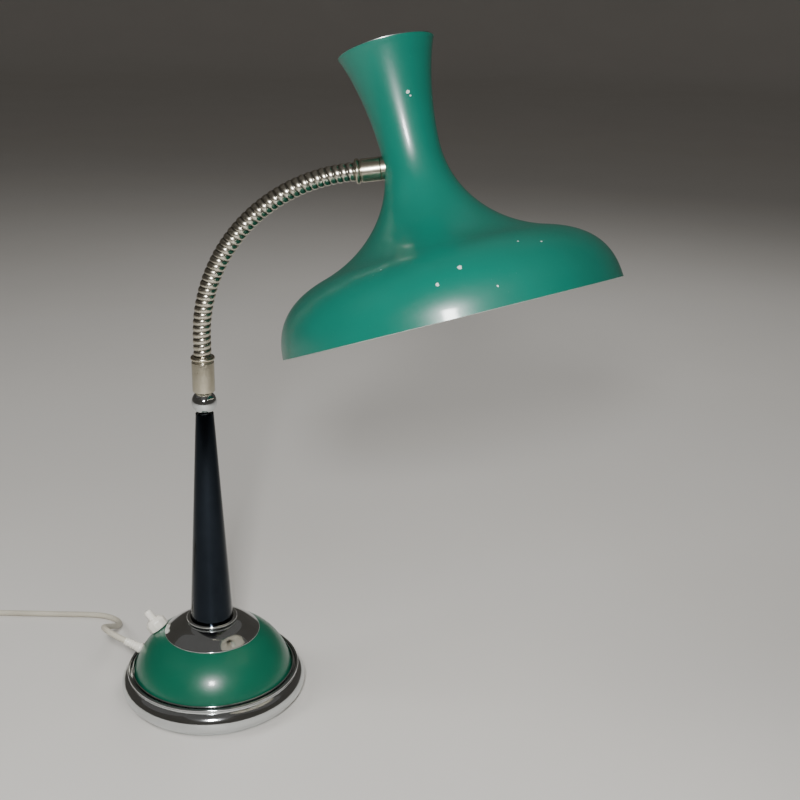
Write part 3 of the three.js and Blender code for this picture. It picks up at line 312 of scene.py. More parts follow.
PLUG_HALF_THICK = 6.8 * MM
PLUG_CORD_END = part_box("plug_cord")[0].y
last = coil_line[-1]
plug_line = [
    (last.x, last.y - 0.008, last.z),
    (last.x, last.y - 0.020, last.z - 0.0003),
    (last.x, last.y - 0.032, PLUG_HALF_THICK + 0.0004),
    (last.x, PLUG_CORD_END, PLUG_HALF_THICK),
]
start_line = [bush_end - 0.004 * (bush_place.to_3x3() @ Vector((0, 0, 1))), bush_end]
cord_line = smooth_line([*start_line, *ROUTE, *coil_line, *plug_line], 0.002)
for _ in range(4):
    inner = [(a + 2 * b + c) / 4 for a, b, c in zip(cord_line, cord_line[1:], cord_line[2:])]
    cord_line = [cord_line[0], *inner, cord_line[-1]]
mains_cord = tube("mains_cord_flex", cord_line, CORD_R, 14, [cord_pvc])
settle(mains_cord, "base", "cord_pvc", "mains_cord", "cord_coil", "plug_cord")

# ------------------------------------------------------------------ coil tie
# A soft white PVC twist tie, wrapped once round the coil's turns and twisted shut on top.


def close_rings(shape, rings):
    """Faces between each ring of vertices and the next, and from the last one to the first."""
    for low, high in zip(rings, rings[1:] + rings[:1]):
        for k in range(len(low)):
            n = (k + 1) % len(low)
            shape.faces.new((low[k], low[n], high[n], high[k]))
    bmesh.ops.recalc_face_normals(shape, faces=shape.faces)


TIE_WIDTH = 4 * MM
TIE_THICK = 0.7 * MM
tie_angle = math.radians(250)
tie_out = Vector((math.cos(tie_angle), math.sin(tie_angle), 0))
tie_along = Vector((-math.sin(tie_angle), math.cos(tie_angle), 0))
half_across = PITCH * TURNS_ACROSS / 2
tie_centre = COIL_CENTRE + tie_out * COIL_MID_R + Vector((0, 0, PITCH))
shape = bmesh.new()
loop_points = []
TIE_CORNER = 3 * MM
TIE_STEPS = 8
TIE_SLACK = 0.25 * MM
for quarter in range(4):
    across = 1 if quarter in (0, 3) else -1
    up = 1 if quarter < 2 else -1
    for k in range(TIE_STEPS + 1):
        turn = math.radians(90) * (quarter + k / TIE_STEPS)
        flat = across * (half_across - TIE_CORNER + TIE_SLACK) + TIE_CORNER * math.cos(turn)
        high = up * (PITCH - TIE_CORNER) + TIE_CORNER * math.sin(turn)
        loop_points.append((flat, high))
sections = []
for flat, high in loop_points:
    reach = Vector((flat, high)).normalized()
    corners = []
    for thick, wide in ((0, -1), (1, -1), (1, 1), (0, 1)):
        out = TIE_THICK * thick
        lift = max(high + reach.y * out, -PITCH + 0.1 * MM)
        corners.append(shape.verts.new(
            tie_centre + tie_out * (flat + reach.x * out) + Vector((0, 0, lift))
            + tie_along * (wide * TIE_WIDTH / 2)))
    sections.append(corners)
close_rings(shape, sections)
coil_tie = make_piece("coil_tie", shape, [cord_pvc])
settle(coil_tie, "base", "cord_pvc")

# ------------------------------------------------------------------ mains plug
# A flat two-pin plug moulded in off-white plastic on the end of the flex, with a ribbed tail and
# two nickel-plated pins that are sleeved for the first half of their length.

TURNED_FACETS = 96


def turned(name, outline, materials, place=Matrix(), facets=TURNED_FACETS, swell=None, sharp=38):
    """A closed mesh spun about Z from [radius, height] points in millimetres, outer wall upwards.
    Its UV map holds turns round in U and centimetres along the outline in V."""
    shape = bmesh.new()
    uv = shape.loops.layers.uv.new("surface")
    if outline[0][0] > 0:
        outline = [*outline, outline[0]]
    travel = [0.0]
    for before, after in zip(outline, outline[1:]):
        travel.append(travel[-1] + math.dist(before, after) / 10)
    rings = []
    for radius, height in outline:
        if rings and (radius, height) == tuple(outline[0]):
            rings.append(rings[0])
            continue
        steps = facets if radius > 0 else 1
        ring = []
        for k in range(steps):
            angle = 2 * math.pi * k / facets
            reach = radius * (swell(angle, height) if swell else 1)
            spot = Vector((reach * math.cos(angle), reach * math.sin(angle), height))
            ring.append(shape.verts.new((place @ spot) * MM))
        rings.append(ring)
    for i, (low, high) in enumerate(zip(rings, rings[1:])):
        for k in range(facets):
            corners = {}
            for ring, step, far in ((low, k, i), (low, k + 1, i), (high, k + 1, i + 1), (high, k, i + 1)):
                corners.setdefault(ring[step % len(ring)], (step / facets, travel[far]))
            if len(corners) < 3:
                continue
            face = shape.faces.new(corners)
            for loop in face.loops:
                loop[uv].uv = corners[loop.vert]
    bmesh.ops.recalc_face_normals(shape, faces=shape.faces)
    return make_piece(name, shape, materials, sharp)


def eased(outline, radius, steps=4):
    """The outline with its corners rounded, as a cutter or a die leaves them."""
    closed = outline[0][0] > 0
    count = len(outline)
    line = []
    for i, corner in enumerate(outline):
        if not closed and i in (0, count - 1):
            line.append(tuple(corner))
            continue
        here = Vector(corner)
        back = Vector(outline[i - 1]) - here
        on = Vector(outline[(i + 1) % count]) - here
        if math.degrees(back.angle(on)) > 150:
            line.append(tuple(corner))
            continue
        cut = min(radius, 0.45 * back.length, 0.45 * on.length)
        start, end = here + back.normalized() * cut, here + on.normalized() * cut
        for k in range(steps + 1):
            t = k / steps
            line.append(tuple((1 - t) ** 2 * start + 2 * t * (1 - t) * here + t * t * end))
    return line


def arc(centre_r, centre_z, radius, start, end, steps):
    """Points on an arc in an outline; angles in degrees from the outward direction."""
    angles = [math.radians(start + (end - start) * k / steps) for k in range(steps + 1)]
    return [(centre_r + radius * math.cos(a), centre_z + radius * math.sin(a)) for a in angles]


def roughen(tree, value, low, high):
    """Lets a value move the finish between two roughnesses."""
    span = add_node(tree, "ShaderNodeMapRange", {"Value": value, "To Min": low, "To Max": high})
    feed(tree, "Roughness", span.outputs["Result"])


# Moulded urea: hard and glossy, slightly translucent to the eye, yellowed a little with age.
white_urea, tree = new_material(
    "moulded_urea", roughness=0.24, ior=1.54, coat_weight=0.15, coat_roughness=0.12)
feed(tree, "Base Color", mixed(tree, noise(tree, 60.0, 5.0), "#f1eee6", "#dcd7c8"))
skin = noise(tree, 1400.0, 2.0)
emboss(tree, skin, 0.06, 0.0002)

# Nickel plate on turned brass: warm grey metal, dulled a little, with fine marks round it.
nickel, tree = new_material("nickel_plate", metallic=1.0, roughness=0.22)
spot = add_node(tree, "ShaderNodeTexCoord")
tarnish = noise(tree, 110.0, 6.0, grain=0.6)
feed(tree, "Base Color", mixed(tree, tarnish, "#d9d3c2", "#b5ad97"))
roughen(tree, tarnish, 0.16, 0.34)
round_marks = add_node(tree, "ShaderNodeMapping", {"Vector": spot.outputs["UV"], "Scale": (2.0, 55.0, 1.0)})
marks = add_node(tree, "ShaderNodeTexNoise", {"Vector": round_marks.outputs["Vector"], "Scale": 1.0})
emboss(tree, marks.outputs["Fac"], 0.22, 0.0002)

PLUG_OUTLINE = [
    (0, -4.5), (9, -4.5), (13, -8), (19.8, -16), (23, -17), (36, -17),
    (36, 17), (23, 17), (19.8, 16), (13, 8), (9, 4.5), (0, 4.5),
]
plug_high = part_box("plug_body")[1]
plug_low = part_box("plug_body")[0]
plug_place = Matrix.Translation(((plug_low.x + plug_high.x) / 2, plug_high.y, PLUG_HALF_THICK))
plug_place = plug_place @ Matrix.Rotation(math.radians(-90), 4, "Z")
shape = bmesh.new()
faces = []
for side in (-1, 1):
    corners = [shape.verts.new(plug_place @ Vector((x * MM, y * MM, side * PLUG_HALF_THICK)))
               for x, y in PLUG_OUTLINE]
    faces.append(corners)
count = len(PLUG_OUTLINE)
for k in range(count):
    n = (k + 1) % count
    shape.faces.new((faces[0][k], faces[0][n], faces[1][n], faces[1][k]))
shape.faces.new(reversed(faces[0]))
shape.faces.new(faces[1])
bmesh.ops.recalc_face_normals(shape, faces=shape.faces)
rims = [edge for edge in shape.edges if edge.calc_face_angle(0) > math.radians(60)]
bmesh.ops.bevel(shape, geom=rims, offset=2.4 * MM, segments=5, profile=0.5, affect="EDGES")
plug = make_piece("plug_moulding", shape, [white_urea], sharp=50)
settle(plug, "base", "white_urea", "plug_body")

PIN_OUTLINE = [(0, 0.3), (2, 0.3), (2, 17.6), (1.6, 18.7), (0.8, 19), (0, 19)]
for number in (1, 2):
    low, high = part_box(f"plug_pin_{number}")
    pin_place = Matrix.Translation(((low.x + high.x) / 2 / MM, plug_low.y / MM, PLUG_HALF_THICK / MM))
    pin_place = pin_place @ Matrix.Rotation(math.radians(90), 4, "X")
    pin = turned(f"plug_pin_{number}_plated", eased(PIN_OUTLINE, 0.6), [nickel, white_urea], pin_place, 32)
    for face in pin.data.polygons:
        face.material_index = int(face.center.y > plug_low.y - 0.010)
    settle(pin, "base", "nickel_brass", f"plug_pin_{number}")

# ------------------------------------------------------------------ cord bush
# A white PVC bush that snaps into the dome's wall. Its tapered sleeve is grooved so that it bends
# with the flex and keeps it from kinking.

BUSH_INSIDE = 3.5
BUSH_RIBS = 5
bush_outline = [(0, -BUSH_INSIDE), (4.2, -BUSH_INSIDE), (4.2, 0.6), (5.0, 0.6), (5.0, 2.4), (4.3, 3.2)]
for k in range(BUSH_RIBS):
    low = 4.2 + k * 2.3
    reach = 4.2 - 0.12 * k
    bush_outline += [(reach, low), (reach, low + 1.3), (reach - 0.45, low + 1.5), (reach - 0.5, low + 2.1)]
bush_outline += [(3.6, 15.9), (3.6, BUSH_OUTSIDE), (0, BUSH_OUTSIDE)]
bush = turned("cord_bush_sleeve", eased(bush_outline, 0.25, 2), [white_urea], bush_place, 48)
settle(bush, "base", "white_urea", "cord_bush")

# ------------------------------------------------------------------ felt pad
# A disc of pressed green wool felt, glued under the foot so that it grips and doesn't scratch.

# Wool felt: no gloss, short tangled fibres that catch light along the disc's edge.
felt, tree = new_material("pressed_wool_felt", roughness=1.0, sheen_weight=0.35, sheen_roughness=0.6)
fibres = noise(tree, 1600.0, 6.0, grain=0.75, warp=1.2)
feed(tree, "Base Color", mixed(tree, fibres, "#163a2b", "#2f6a52"))
emboss(tree, fibres, 0.6, 0.0004)

FELT_R = 76.7
FELT_THICK = 1.5
settle(turned("felt_pad_disc", eased([(0, 0), (FELT_R, 0), (FELT_R, FELT_THICK), (0, FELT_THICK)], 0.4),
              [felt]), "base", "green_felt", "felt_pad")

# ------------------------------------------------------------------ chromed foot
# One steel rim pressed to a bulging foot under a bright rolled lip, chrome plated. A separate
# chromed wire ring closes the dark channel between the lip and the dome.

# Polished chrome: a clear mirror with a cold cast, hazed by faint wipe marks and pin-sized pits.
chrome, tree = new_material("polished_chrome", metallic=1.0, roughness=0.06)
haze = noise(tree, 45.0, 7.0, grain=0.65)
feed(tree, "Base Color", mixed(tree, haze, "#dfe3e6", "#c3c6c4"))
roughen(tree, haze, 0.03, 0.16)
ripple = noise(tree, 90.0)
emboss(tree, ripple, 0.05, 0.0004)

FOOT_R = 78.2
FOOT_LIFT = 1.0
RIM_WALL = 1.2
BULGE_R, BULGE_Z, BULGE_ARC = 73, 12, 11
LIP_R, LIP_Z, LIP_BEAD = 76.9, 25, 1.4
LEDGE_R, LEDGE_Z = 66, 23
foot_angle = math.degrees(math.acos((FOOT_R - BULGE_R) / BULGE_ARC))
rim_outline = [
    (FOOT_R - RIM_WALL, FOOT_LIFT),
    (FOOT_R, FOOT_LIFT),
    *arc(BULGE_R, BULGE_Z, BULGE_ARC, -foot_angle, 66, 28),
    *arc(LIP_R, LIP_Z, LIP_BEAD, -60, 180, 14),
    (LIP_R - LIP_BEAD, LEDGE_Z),
    (LEDGE_R, LEDGE_Z),
    (LEDGE_R, LEDGE_Z - RIM_WALL),
    *arc(BULGE_R, BULGE_Z, BULGE_ARC - RIM_WALL, 75, -foot_angle, 20),
]
settle(turned("foot_rim_pressing", eased(rim_outline, 0.3), [chrome], facets=144),
       "base", "chrome", "base_rim")

dome_edge_z = LEDGE_Z + SEAT_GAP
dome_edge_r = DOME_CENTRE_R + math.sqrt(DOME_ARC_R ** 2 - (dome_edge_z - DOME_CENTRE_Z) ** 2)
TRIM_WIDTH = 1.4
TRIM_TOP_Z = 27.3
trim_middle = dome_edge_r + SEAT_GAP + TRIM_WIDTH / 2
trim_outline = [
    (trim_middle - TRIM_WIDTH / 2, dome_edge_z),
    (trim_middle + TRIM_WIDTH / 2, dome_edge_z),
    *arc(trim_middle, TRIM_TOP_Z - TRIM_WIDTH / 2, TRIM_WIDTH / 2, 0, 180, 10),
]
settle(turned("dome_trim_wire", trim_outline, [chrome], facets=144), "base", "chrome", "trim_ring")

# ------------------------------------------------------------------ enamelled dome
# Pressed steel with green stoving enamel, held between the foot's ledge and the chrome cap.

DOME_WALL = 1.0
DOME_TOP_R = 38


def green_enamel(name, tones, marks):
    """Green enamel: a hard gloss coat, faintly rippled, with dust, scuffs and small bare chips.
    tones are its two greens; marks lists (place, radius), in metres, of chips down to the metal."""
    material, tree = new_material(name, ior=1.5, coat_weight=0.35, coat_roughness=0.12)
    spot = add_node(tree, "ShaderNodeTexCoord").outputs["Object"]

    def maths(operation, *values):
        return add_node(tree, "ShaderNodeMath", dict(enumerate(values)), operation=operation).outputs[0]

    green = mixed(tree, noise(tree, 14.0, 4.0), *tones)
    wear = noise(tree, 210.0, 8.0, grain=0.7, warp=2.0)
    scuffs = add_node(tree, "ShaderNodeMapRange", {"Value": wear, "From Min": 0.66, "From Max": 0.74})
    grains = add_node(tree, "ShaderNodeTexVoronoi", {"Vector": spot, "Scale": 95.0})
    keep = add_node(tree, "ShaderNodeSeparateColor", {"Color": grains.outputs["Color"]})
    speck_size = add_node(tree, "ShaderNodeMapRange", {
        "Value": keep.outputs["Red"], "From Min": 0.86, "From Max": 1.0, "To Min": 0.0, "To Max": 0.075})
    specks = maths("LESS_THAN", grains.outputs["Distance"], speck_size.outputs["Result"])
    dust = maths("MULTIPLY", maths("MAXIMUM", scuffs.outputs["Result"], specks), 0.4)
    colour = mixed(tree, dust, green, "#8fc7b6")
    ragged = noise(tree, 700.0, 3.0)
    for place, radius in marks:
        away = add_node(tree, "ShaderNodeVectorMath", {0: spot, 1: place}, operation="DISTANCE")
        edge = add_node(tree, "ShaderNodeMapRange", {
            "Value": ragged, "To Min": 0.2 * radius, "To Max": 1.6 * radius})
        chip = maths("LESS_THAN", away.outputs["Value"], edge.outputs["Result"])
        colour = mixed(tree, chip, colour, "#c9d2cc")
    feed(tree, "Base Color", colour)
    roughen(tree, wear, 0.24, 0.44)
    emboss(tree, noise(tree, 620.0), 0.05, 0.0003)
    return material


dome_enamel = green_enamel("stoving_enamel_on_steel", ("#04503c", "#076048"), [])
edge_angle = math.degrees(math.asin((dome_edge_z - DOME_CENTRE_Z) / DOME_ARC_R))
top_angle = math.degrees(math.acos((DOME_TOP_R - DOME_CENTRE_R) / DOME_ARC_R))
dome_outline = [
    *arc(DOME_CENTRE_R, DOME_CENTRE_Z, DOME_ARC_R, edge_angle, top_angle, 36),
    *arc(DOME_CENTRE_R, DOME_CENTRE_Z, DOME_ARC_R - DOME_WALL, top_angle, edge_angle, 24),
]
settle(turned("dome_pressing", dome_outline, [dome_enamel], facets=144),
       "base", "enamelled_steel", "base_dome")

# ------------------------------------------------------------------ chrome cap, column and ball
# A spun cap sits on the dome, then a wire ring, a tall tapered steel column and a turned ball.
# All are chrome plated and pulled together by the rod inside.

CAP_R = 43
CAP_WALL = 1.0
CAP_TOP_Z = 73
CAP_CROWN = 2.2
COLUMN_FOOT_R = 19.4
COLUMN_TOP_R = 7.8
COLUMN_WALL = 1.5
BALL_R = 10.9
BALL_Z = 283
ROD_HOLE_R = 5.3


def dome_height(radius):
    return DOME_CENTRE_Z + math.sqrt(DOME_ARC_R ** 2 - (radius - DOME_CENTRE_R) ** 2)


def cap_slope(inset, steps=18):
    """The cap's slope from its edge to the column, bulging a little beyond a straight cone."""
    edge = (CAP_R - inset, dome_height(CAP_R - inset) + SEAT_GAP + CAP_WALL)
    top = (COLUMN_FOOT_R + 1, CAP_TOP_Z - inset)
    line = []
    for k in range(steps + 1):
        t = k / steps
        bulge = CAP_CROWN * math.sin(math.pi * t)
        line.append((edge[0] + (top[0] - edge[0]) * t, edge[1] + (top[1] - edge[1]) * t + bulge))
    return line


cap_bore_r = COLUMN_FOOT_R - 2 * COLUMN_WALL
cap_outline = [
    (CAP_R - CAP_WALL, dome_height(CAP_R - CAP_WALL) + SEAT_GAP),
    (CAP_R, dome_height(CAP_R) + SEAT_GAP),
    *cap_slope(0),
    (cap_bore_r, CAP_TOP_Z),
    (cap_bore_r, CAP_TOP_Z - CAP_WALL),
    *reversed(cap_slope(CAP_WALL)),
]
settle(turned("dome_cap_spinning", eased(cap_outline, 0.4), [chrome]), "base", "chrome", "dome_cap")

column_foot_z = CAP_TOP_Z + SEAT_GAP
FOOT_RING_WIDTH = 3.2
foot_ring_inner = COLUMN_FOOT_R + SEAT_GAP
foot_ring_outline = [
    (foot_ring_inner, column_foot_z),
    *arc(foot_ring_inner + FOOT_RING_WIDTH / 2, column_foot_z + FOOT_RING_WIDTH / 2,
         FOOT_RING_WIDTH / 2, -90, 90, 14),
    (foot_ring_inner, column_foot_z + FOOT_RING_WIDTH),
]
settle(turned("column_foot_wire", foot_ring_outline, [chrome]), "base", "chrome", "column_foot_ring")

# Column chrome: the same mirror, with its colour painted near black, a painted reflection of a dark room.
chrome_painted_dark, tree = new_material("chrome_with_painted_dark_reflection", metallic=1.0, roughness=0.07)
haze = noise(tree, 45.0, 7.0, grain=0.65)
feed(tree, "Base Color", mixed(tree, haze, "#2a3038", "#1c2127"))
roughen(tree, haze, 0.04, 0.14)

ball_flat = math.sqrt(BALL_R ** 2 - ROD_HOLE_R ** 2)
column_top_z = BALL_Z - ball_flat - SEAT_GAP
column_outline = [
    (COLUMN_FOOT_R - COLUMN_WALL, column_foot_z),
    (COLUMN_FOOT_R, column_foot_z),
    (COLUMN_TOP_R, column_top_z),
    (ROD_HOLE_R, column_top_z),
    (ROD_HOLE_R, column_top_z - 2 * COLUMN_WALL),
    (COLUMN_TOP_R - COLUMN_WALL, column_top_z - 2 * COLUMN_WALL),
]
# The column takes the chrome painted near black, a painted dark reflection.
settle(turned("column_tube", eased(column_outline, 0.5), [chrome_painted_dark]), "base", "chrome", "column")

ball_angle = math.degrees(math.acos(ROD_HOLE_R / BALL_R))
settle(turned("column_ball", arc(0, BALL_Z, BALL_R, -ball_angle, ball_angle, 32), [chrome]),
       "base", "chrome", "ball_knob")

# ------------------------------------------------------------------ ferrules and beads
# Turned brass sockets at both ends of the gooseneck, nickel plated. A rounded bead closes each
# one over the hose, and a groove is turned where the two meet.

NECK_Z = 325
NECK_R = 7.75
NECK_STRAIGHT = 15
NECK_END_STRAIGHT = 5
NECK_BEND_R = 142.8
NECK_TURN = math.radians(82)
NECK_LENGTH = NECK_STRAIGHT + NECK_BEND_R * NECK_TURN + NECK_END_STRAIGHT
FERRULE_R = 9.6
BEAD_R = 10.3
BEAD_THICK = 4
SOCKET_R = 7.5


def neck_point(length):
    """A point on the gooseneck's centre line in millimetres, by the length along it."""
    bent = min(max(length - NECK_STRAIGHT, 0), NECK_BEND_R * NECK_TURN)
    angle = bent / NECK_BEND_R
    start = min(length, NECK_STRAIGHT)
    end = max(0, length - NECK_STRAIGHT - bent)
    across = NECK_BEND_R * (1 - math.cos(angle)) + end * math.sin(angle)
    up = start + NECK_BEND_R * math.sin(angle) + end * math.cos(angle)
    return Vector((across, 0, NECK_Z + up))


def ferrule_outline(bottom_z, top_z):
    return eased([
        (SOCKET_R - 2, bottom_z), (FERRULE_R - 0.5, bottom_z), (FERRULE_R, bottom_z + 0.6),
        (FERRULE_R, top_z - 1.2), (FERRULE_R - 0.5, top_z - 0.9), (FERRULE_R - 0.5, top_z),
        (SOCKET_R, top_z), (SOCKET_R, bottom_z + 6), (SOCKET_R - 2, bottom_z + 5),
    ], 0.35)


def bead_outline(low_z):
    half = BEAD_THICK / 2
    return [
        (SOCKET_R, low_z),
        *arc(BEAD_R - half, low_z + half, half, -90, 90, 16),
        (SOCKET_R, low_z + BEAD_THICK),
    ]


lower_bead_z = NECK_Z - SEAT_GAP - BEAD_THICK
ferrule_bottom_z = BALL_Z + ball_flat + SEAT_GAP
settle(turned("lower_ferrule_socket", ferrule_outline(ferrule_bottom_z, lower_bead_z - SEAT_GAP),
              [nickel]), "base", "nickel", "lower_ferrule")
settle(turned("lower_bead_ring", bead_outline(lower_bead_z), [nickel]), "base", "nickel", "lower_bead")

SHADE_MOUNT_REACH = 48
SHADE_LEAN = math.radians(7.4)
SHADE_SWIVEL = math.radians(15.4)
head_place = Matrix.Translation(neck_point(NECK_LENGTH)) @ Matrix.Rotation(NECK_TURN, 4, "Y")
head_turned_round = head_place @ Matrix.Rotation(math.pi, 4, "X")
upper_low = SEAT_GAP + BEAD_THICK + SEAT_GAP
FERRULE_END = 21.224
settle(turned("upper_ferrule_socket", ferrule_outline(-FERRULE_END, -upper_low), [nickel],
              head_turned_round), "head", "nickel", "upper_ferrule")
settle(turned("upper_bead_ring", bead_outline(SEAT_GAP), [nickel], head_place),
       "head", "nickel", "upper_bead")

# ------------------------------------------------------------------ gooseneck
# A steel hose that stays where it is bent: a round wire wound tight with a three-sided wire
# wedged between its turns. Both are nickel plated. One stretch of skin spans each joint.

# Nickel-plated wire: mottled grey metal on the crowns of the turns, with painted shade darkening its colour
# down into the grooves between them.
hose_wire, tree = new_material("nickel_plated_wire", metallic=1.0, roughness=0.25)
depth = add_node(tree, "ShaderNodeAttribute", attribute_name="rib_height").outputs["Fac"]
# Painted shade: the lower the rib height, the darker the wire's colour, down to a dark grey in the grooves.
groove_shade = add_node(tree, "ShaderNodeMapRange", {"Value": depth, "From Min": 0.1, "From Max": 0.75})
mottled = noise(tree, 160.0, 5.0)
crown = mixed(tree, mottled, "#dcd8cb", "#bdb7a4")
feed(tree, "Base Color", mixed(tree, groove_shade.outputs["Result"], "#6d6a60", crown))
roughen(tree, mottled, 0.16, 0.34)

HOSE_ROOT = 4.0
RIB_PITCH = 5.47
RIB_DEPTH = 0.8
RIB_SHARE = 0.42
HOSE_COLUMNS = 40
ROWS_PER_RIB = 14


def hose_tree():
    """Wraps a ribbed skin round a stretch of the input curve, between two lengths along it."""
    group = bpy.data.node_groups.new("ribbed_hose", "GeometryNodeTree")
    sockets = group.interface
    sockets.new_socket("Geometry", in_out="INPUT", socket_type="NodeSocketGeometry")
    for name in ("Start", "End", "Outer Radius", "Rib Pitch", "Rib Depth"):
        sockets.new_socket(name, in_out="INPUT", socket_type="NodeSocketFloat")
    sockets.new_socket("Rows", in_out="INPUT", socket_type="NodeSocketInt")
    sockets.new_socket("Wire", in_out="INPUT", socket_type="NodeSocketMaterial")
    sockets.new_socket("Geometry", in_out="OUTPUT", socket_type="NodeSocketGeometry")
    given = add_node(group, "NodeGroupInput").outputs

    def maths(operation, *values):
        return add_node(group, "ShaderNodeMath", dict(enumerate(values)), operation=operation).outputs[0]

    grid = add_node(group, "GeometryNodeMeshGrid", {
        "Size X": 1.0, "Size Y": 1.0, "Vertices X": HOSE_COLUMNS + 1, "Vertices Y": given["Rows"]})
    where = add_node(group, "ShaderNodeSeparateXYZ", {0: grid.outputs["UV Map"]}).outputs
    twice = maths("MULTIPLY", given["Rib Pitch"], 2.0)
    span = maths("ADD", maths("SUBTRACT", given["End"], given["Start"]), twice)
    first_row = maths("SUBTRACT", given["Start"], given["Rib Pitch"])
    row = maths("ADD", first_row, maths("MULTIPLY", where[1], span))
    wound = maths("ADD", row, maths("MULTIPLY", where[0], given["Rib Pitch"]))
    along = maths("MINIMUM", maths("MAXIMUM", wound, given["Start"]), given["End"])
    phase = maths("FRACT", maths("SUBTRACT", maths("DIVIDE", along, given["Rib Pitch"]), where[0]))
    from_middle = maths("ABSOLUTE", maths("SUBTRACT", phase, 0.5))
    off_crown = maths("MINIMUM", maths("DIVIDE", from_middle, RIB_SHARE), 1.0)
    fall = maths("MULTIPLY", off_crown, off_crown)
    round_wire = maths("SQRT", maths("MAXIMUM", maths("SUBTRACT", 1.0, fall), 0.0))
    to_wedge = maths("MINIMUM", phase, maths("SUBTRACT", 1.0, phase))
    wedge = maths("MAXIMUM", maths("SUBTRACT", 0.3, maths("MULTIPLY", to_wedge, 2.6)), 0.0)
    height = maths("MAXIMUM", round_wire, wedge)
    radius = maths("SUBTRACT", given["Outer Radius"],
                   maths("MULTIPLY", given["Rib Depth"], maths("SUBTRACT", 1.0, height)))
    path = add_node(group, "GeometryNodeSampleCurve", {"Curves": given["Geometry"], "Length": along},
                    mode="LENGTH", use_all_curves=True)
    side = path.outputs["Normal"]
    other = add_node(group, "ShaderNodeVectorMath", {0: path.outputs["Tangent"], 1: side},
                     operation="CROSS_PRODUCT").outputs[0]
    angle = maths("MULTIPLY", where[0], 2 * math.pi)
    out_side = add_node(group, "ShaderNodeVectorMath", {
        0: side, "Scale": maths("MULTIPLY", radius, maths("COSINE", angle))}, operation="SCALE").outputs[0]
    out_other = add_node(group, "ShaderNodeVectorMath", {
        0: other, "Scale": maths("MULTIPLY", radius, maths("SINE", angle))}, operation="SCALE").outputs[0]
    reach = add_node(group, "ShaderNodeVectorMath", {0: out_side, 1: out_other}, operation="ADD").outputs[0]
    place = add_node(group, "ShaderNodeVectorMath", {0: path.outputs["Position"], 1: reach},
                     operation="ADD").outputs[0]
    named = add_node(group, "GeometryNodeStoreNamedAttribute", {
        "Geometry": grid.outputs["Mesh"], "Name": "rib_height", "Value": height}, data_type="FLOAT")
    wrapped = add_node(group, "GeometryNodeSetPosition", {"Geometry": named.outputs[0], "Position": place})
    joined = add_node(group, "GeometryNodeMergeByDistance", {
        "Geometry": wrapped.outputs[0], "Distance": 2e-5})
    smooth = add_node(group, "GeometryNodeSetShadeSmooth", {"Geometry": joined.outputs[0]})
    real = add_node(group, "GeometryNodeRealizeInstances", {"Geometry": smooth.outputs[0]})
    painted = add_node(group, "GeometryNodeSetMaterial", {
        "Geometry": real.outputs[0], "Material": given["Wire"]})
    add_node(group, "NodeGroupOutput", {"Geometry": painted.outputs[0]})
    return group


hose_rule = hose_tree()
hose_line = bpy.data.curves.new("hose_centre_line", "CURVE")
hose_line.dimensions = "3D"
spline = hose_line.splines.new("POLY")
lengths = [-HOSE_ROOT + k for k in range(int(NECK_LENGTH + 2 * HOSE_ROOT) + 1)]
spline.points.add(len(lengths) - 1)
for point, length in zip(spline.points, lengths):
    point.co = (*(neck_point(length) * MM), 1)

NECK_LINKS = 14
link_length = NECK_LENGTH / NECK_LINKS
middles = [(k + 0.5) * link_length for k in range(NECK_LINKS)]
stretches = [-HOSE_ROOT, *middles, NECK_LENGTH + HOSE_ROOT - 1]
neck_bodies = ["base", *[f"neck_{k:02d}" for k in range(2, NECK_LINKS)], "head"]
for k, (start, end) in enumerate(zip(stretches, stretches[1:])):
    carrier = new_object("hose_carrier", hose_line)
    modifier = carrier.modifiers.new("ribs", "NODES")
    modifier.node_group = hose_rule
    rows = int((end - start + 2 * RIB_PITCH) / RIB_PITCH * ROWS_PER_RIB)
    values = {
        "Start": (start + HOSE_ROOT) * MM, "End": (end + HOSE_ROOT) * MM, "Outer Radius": NECK_R * MM,
        "Rib Pitch": RIB_PITCH * MM, "Rib Depth": RIB_DEPTH * MM, "Rows": rows, "Wire": hose_wire,
    }
    for item in hose_rule.interface.items_tree:
        if item.in_out == "INPUT" and item.name in values:
            modifier[item.identifier] = values[item.name]
    graph = bpy.context.evaluated_depsgraph_get()
    mesh = bpy.data.meshes.new_from_object(carrier.evaluated_get(graph))
    bpy.data.objects.remove(carrier)
    skin_piece = new_object(f"hose_skin_{k + 1:02d}", mesh)
    if k < NECK_LINKS:
        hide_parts(f"gooseneck_{k + 1:02d}")
    if k in (0, NECK_LINKS):
        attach(skin_piece, neck_bodies[0 if k == 0 else -1])
    else:
        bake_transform(skin_piece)

# ------------------------------------------------------------------ shade
# One aluminium disc spun to an hourglass: a wide shoulder, a flare, and a funnel that lets the
# heat out. It is enamelled green outside and white inside, and both edges are rubbed bright.

SHADE_WALL = 1.0
SHADE_TOP_Z = 94.4
RIM_POINT = Vector((140, SHADE_TOP_Z - 220.9))
BRIM_POINT = Vector((92, SHADE_TOP_Z - 167))
WAIST_POINT = Vector((24, SHADE_TOP_Z - 83))
MOUTH_POINT = Vector((39.1, SHADE_TOP_Z))
mount_place = (head_place @ Matrix.Translation((0, 0, SHADE_MOUNT_REACH))
               @ Matrix.Rotation(-SHADE_SWIVEL, 4, "Z"))
shade_place = mount_place @ Matrix.Rotation(-math.pi / 2 - SHADE_LEAN, 4, "Y")


def bend_through(start, leave, arrive, end, steps):
    """Points on a smooth bend between two points of an outline, given its two handles."""
    corners = [Vector((*corner, 0)) for corner in (start, start + leave, end + arrive, end)]
    return [(p.x, p.y) for p in interpolate_bezier(*corners, steps + 1)]


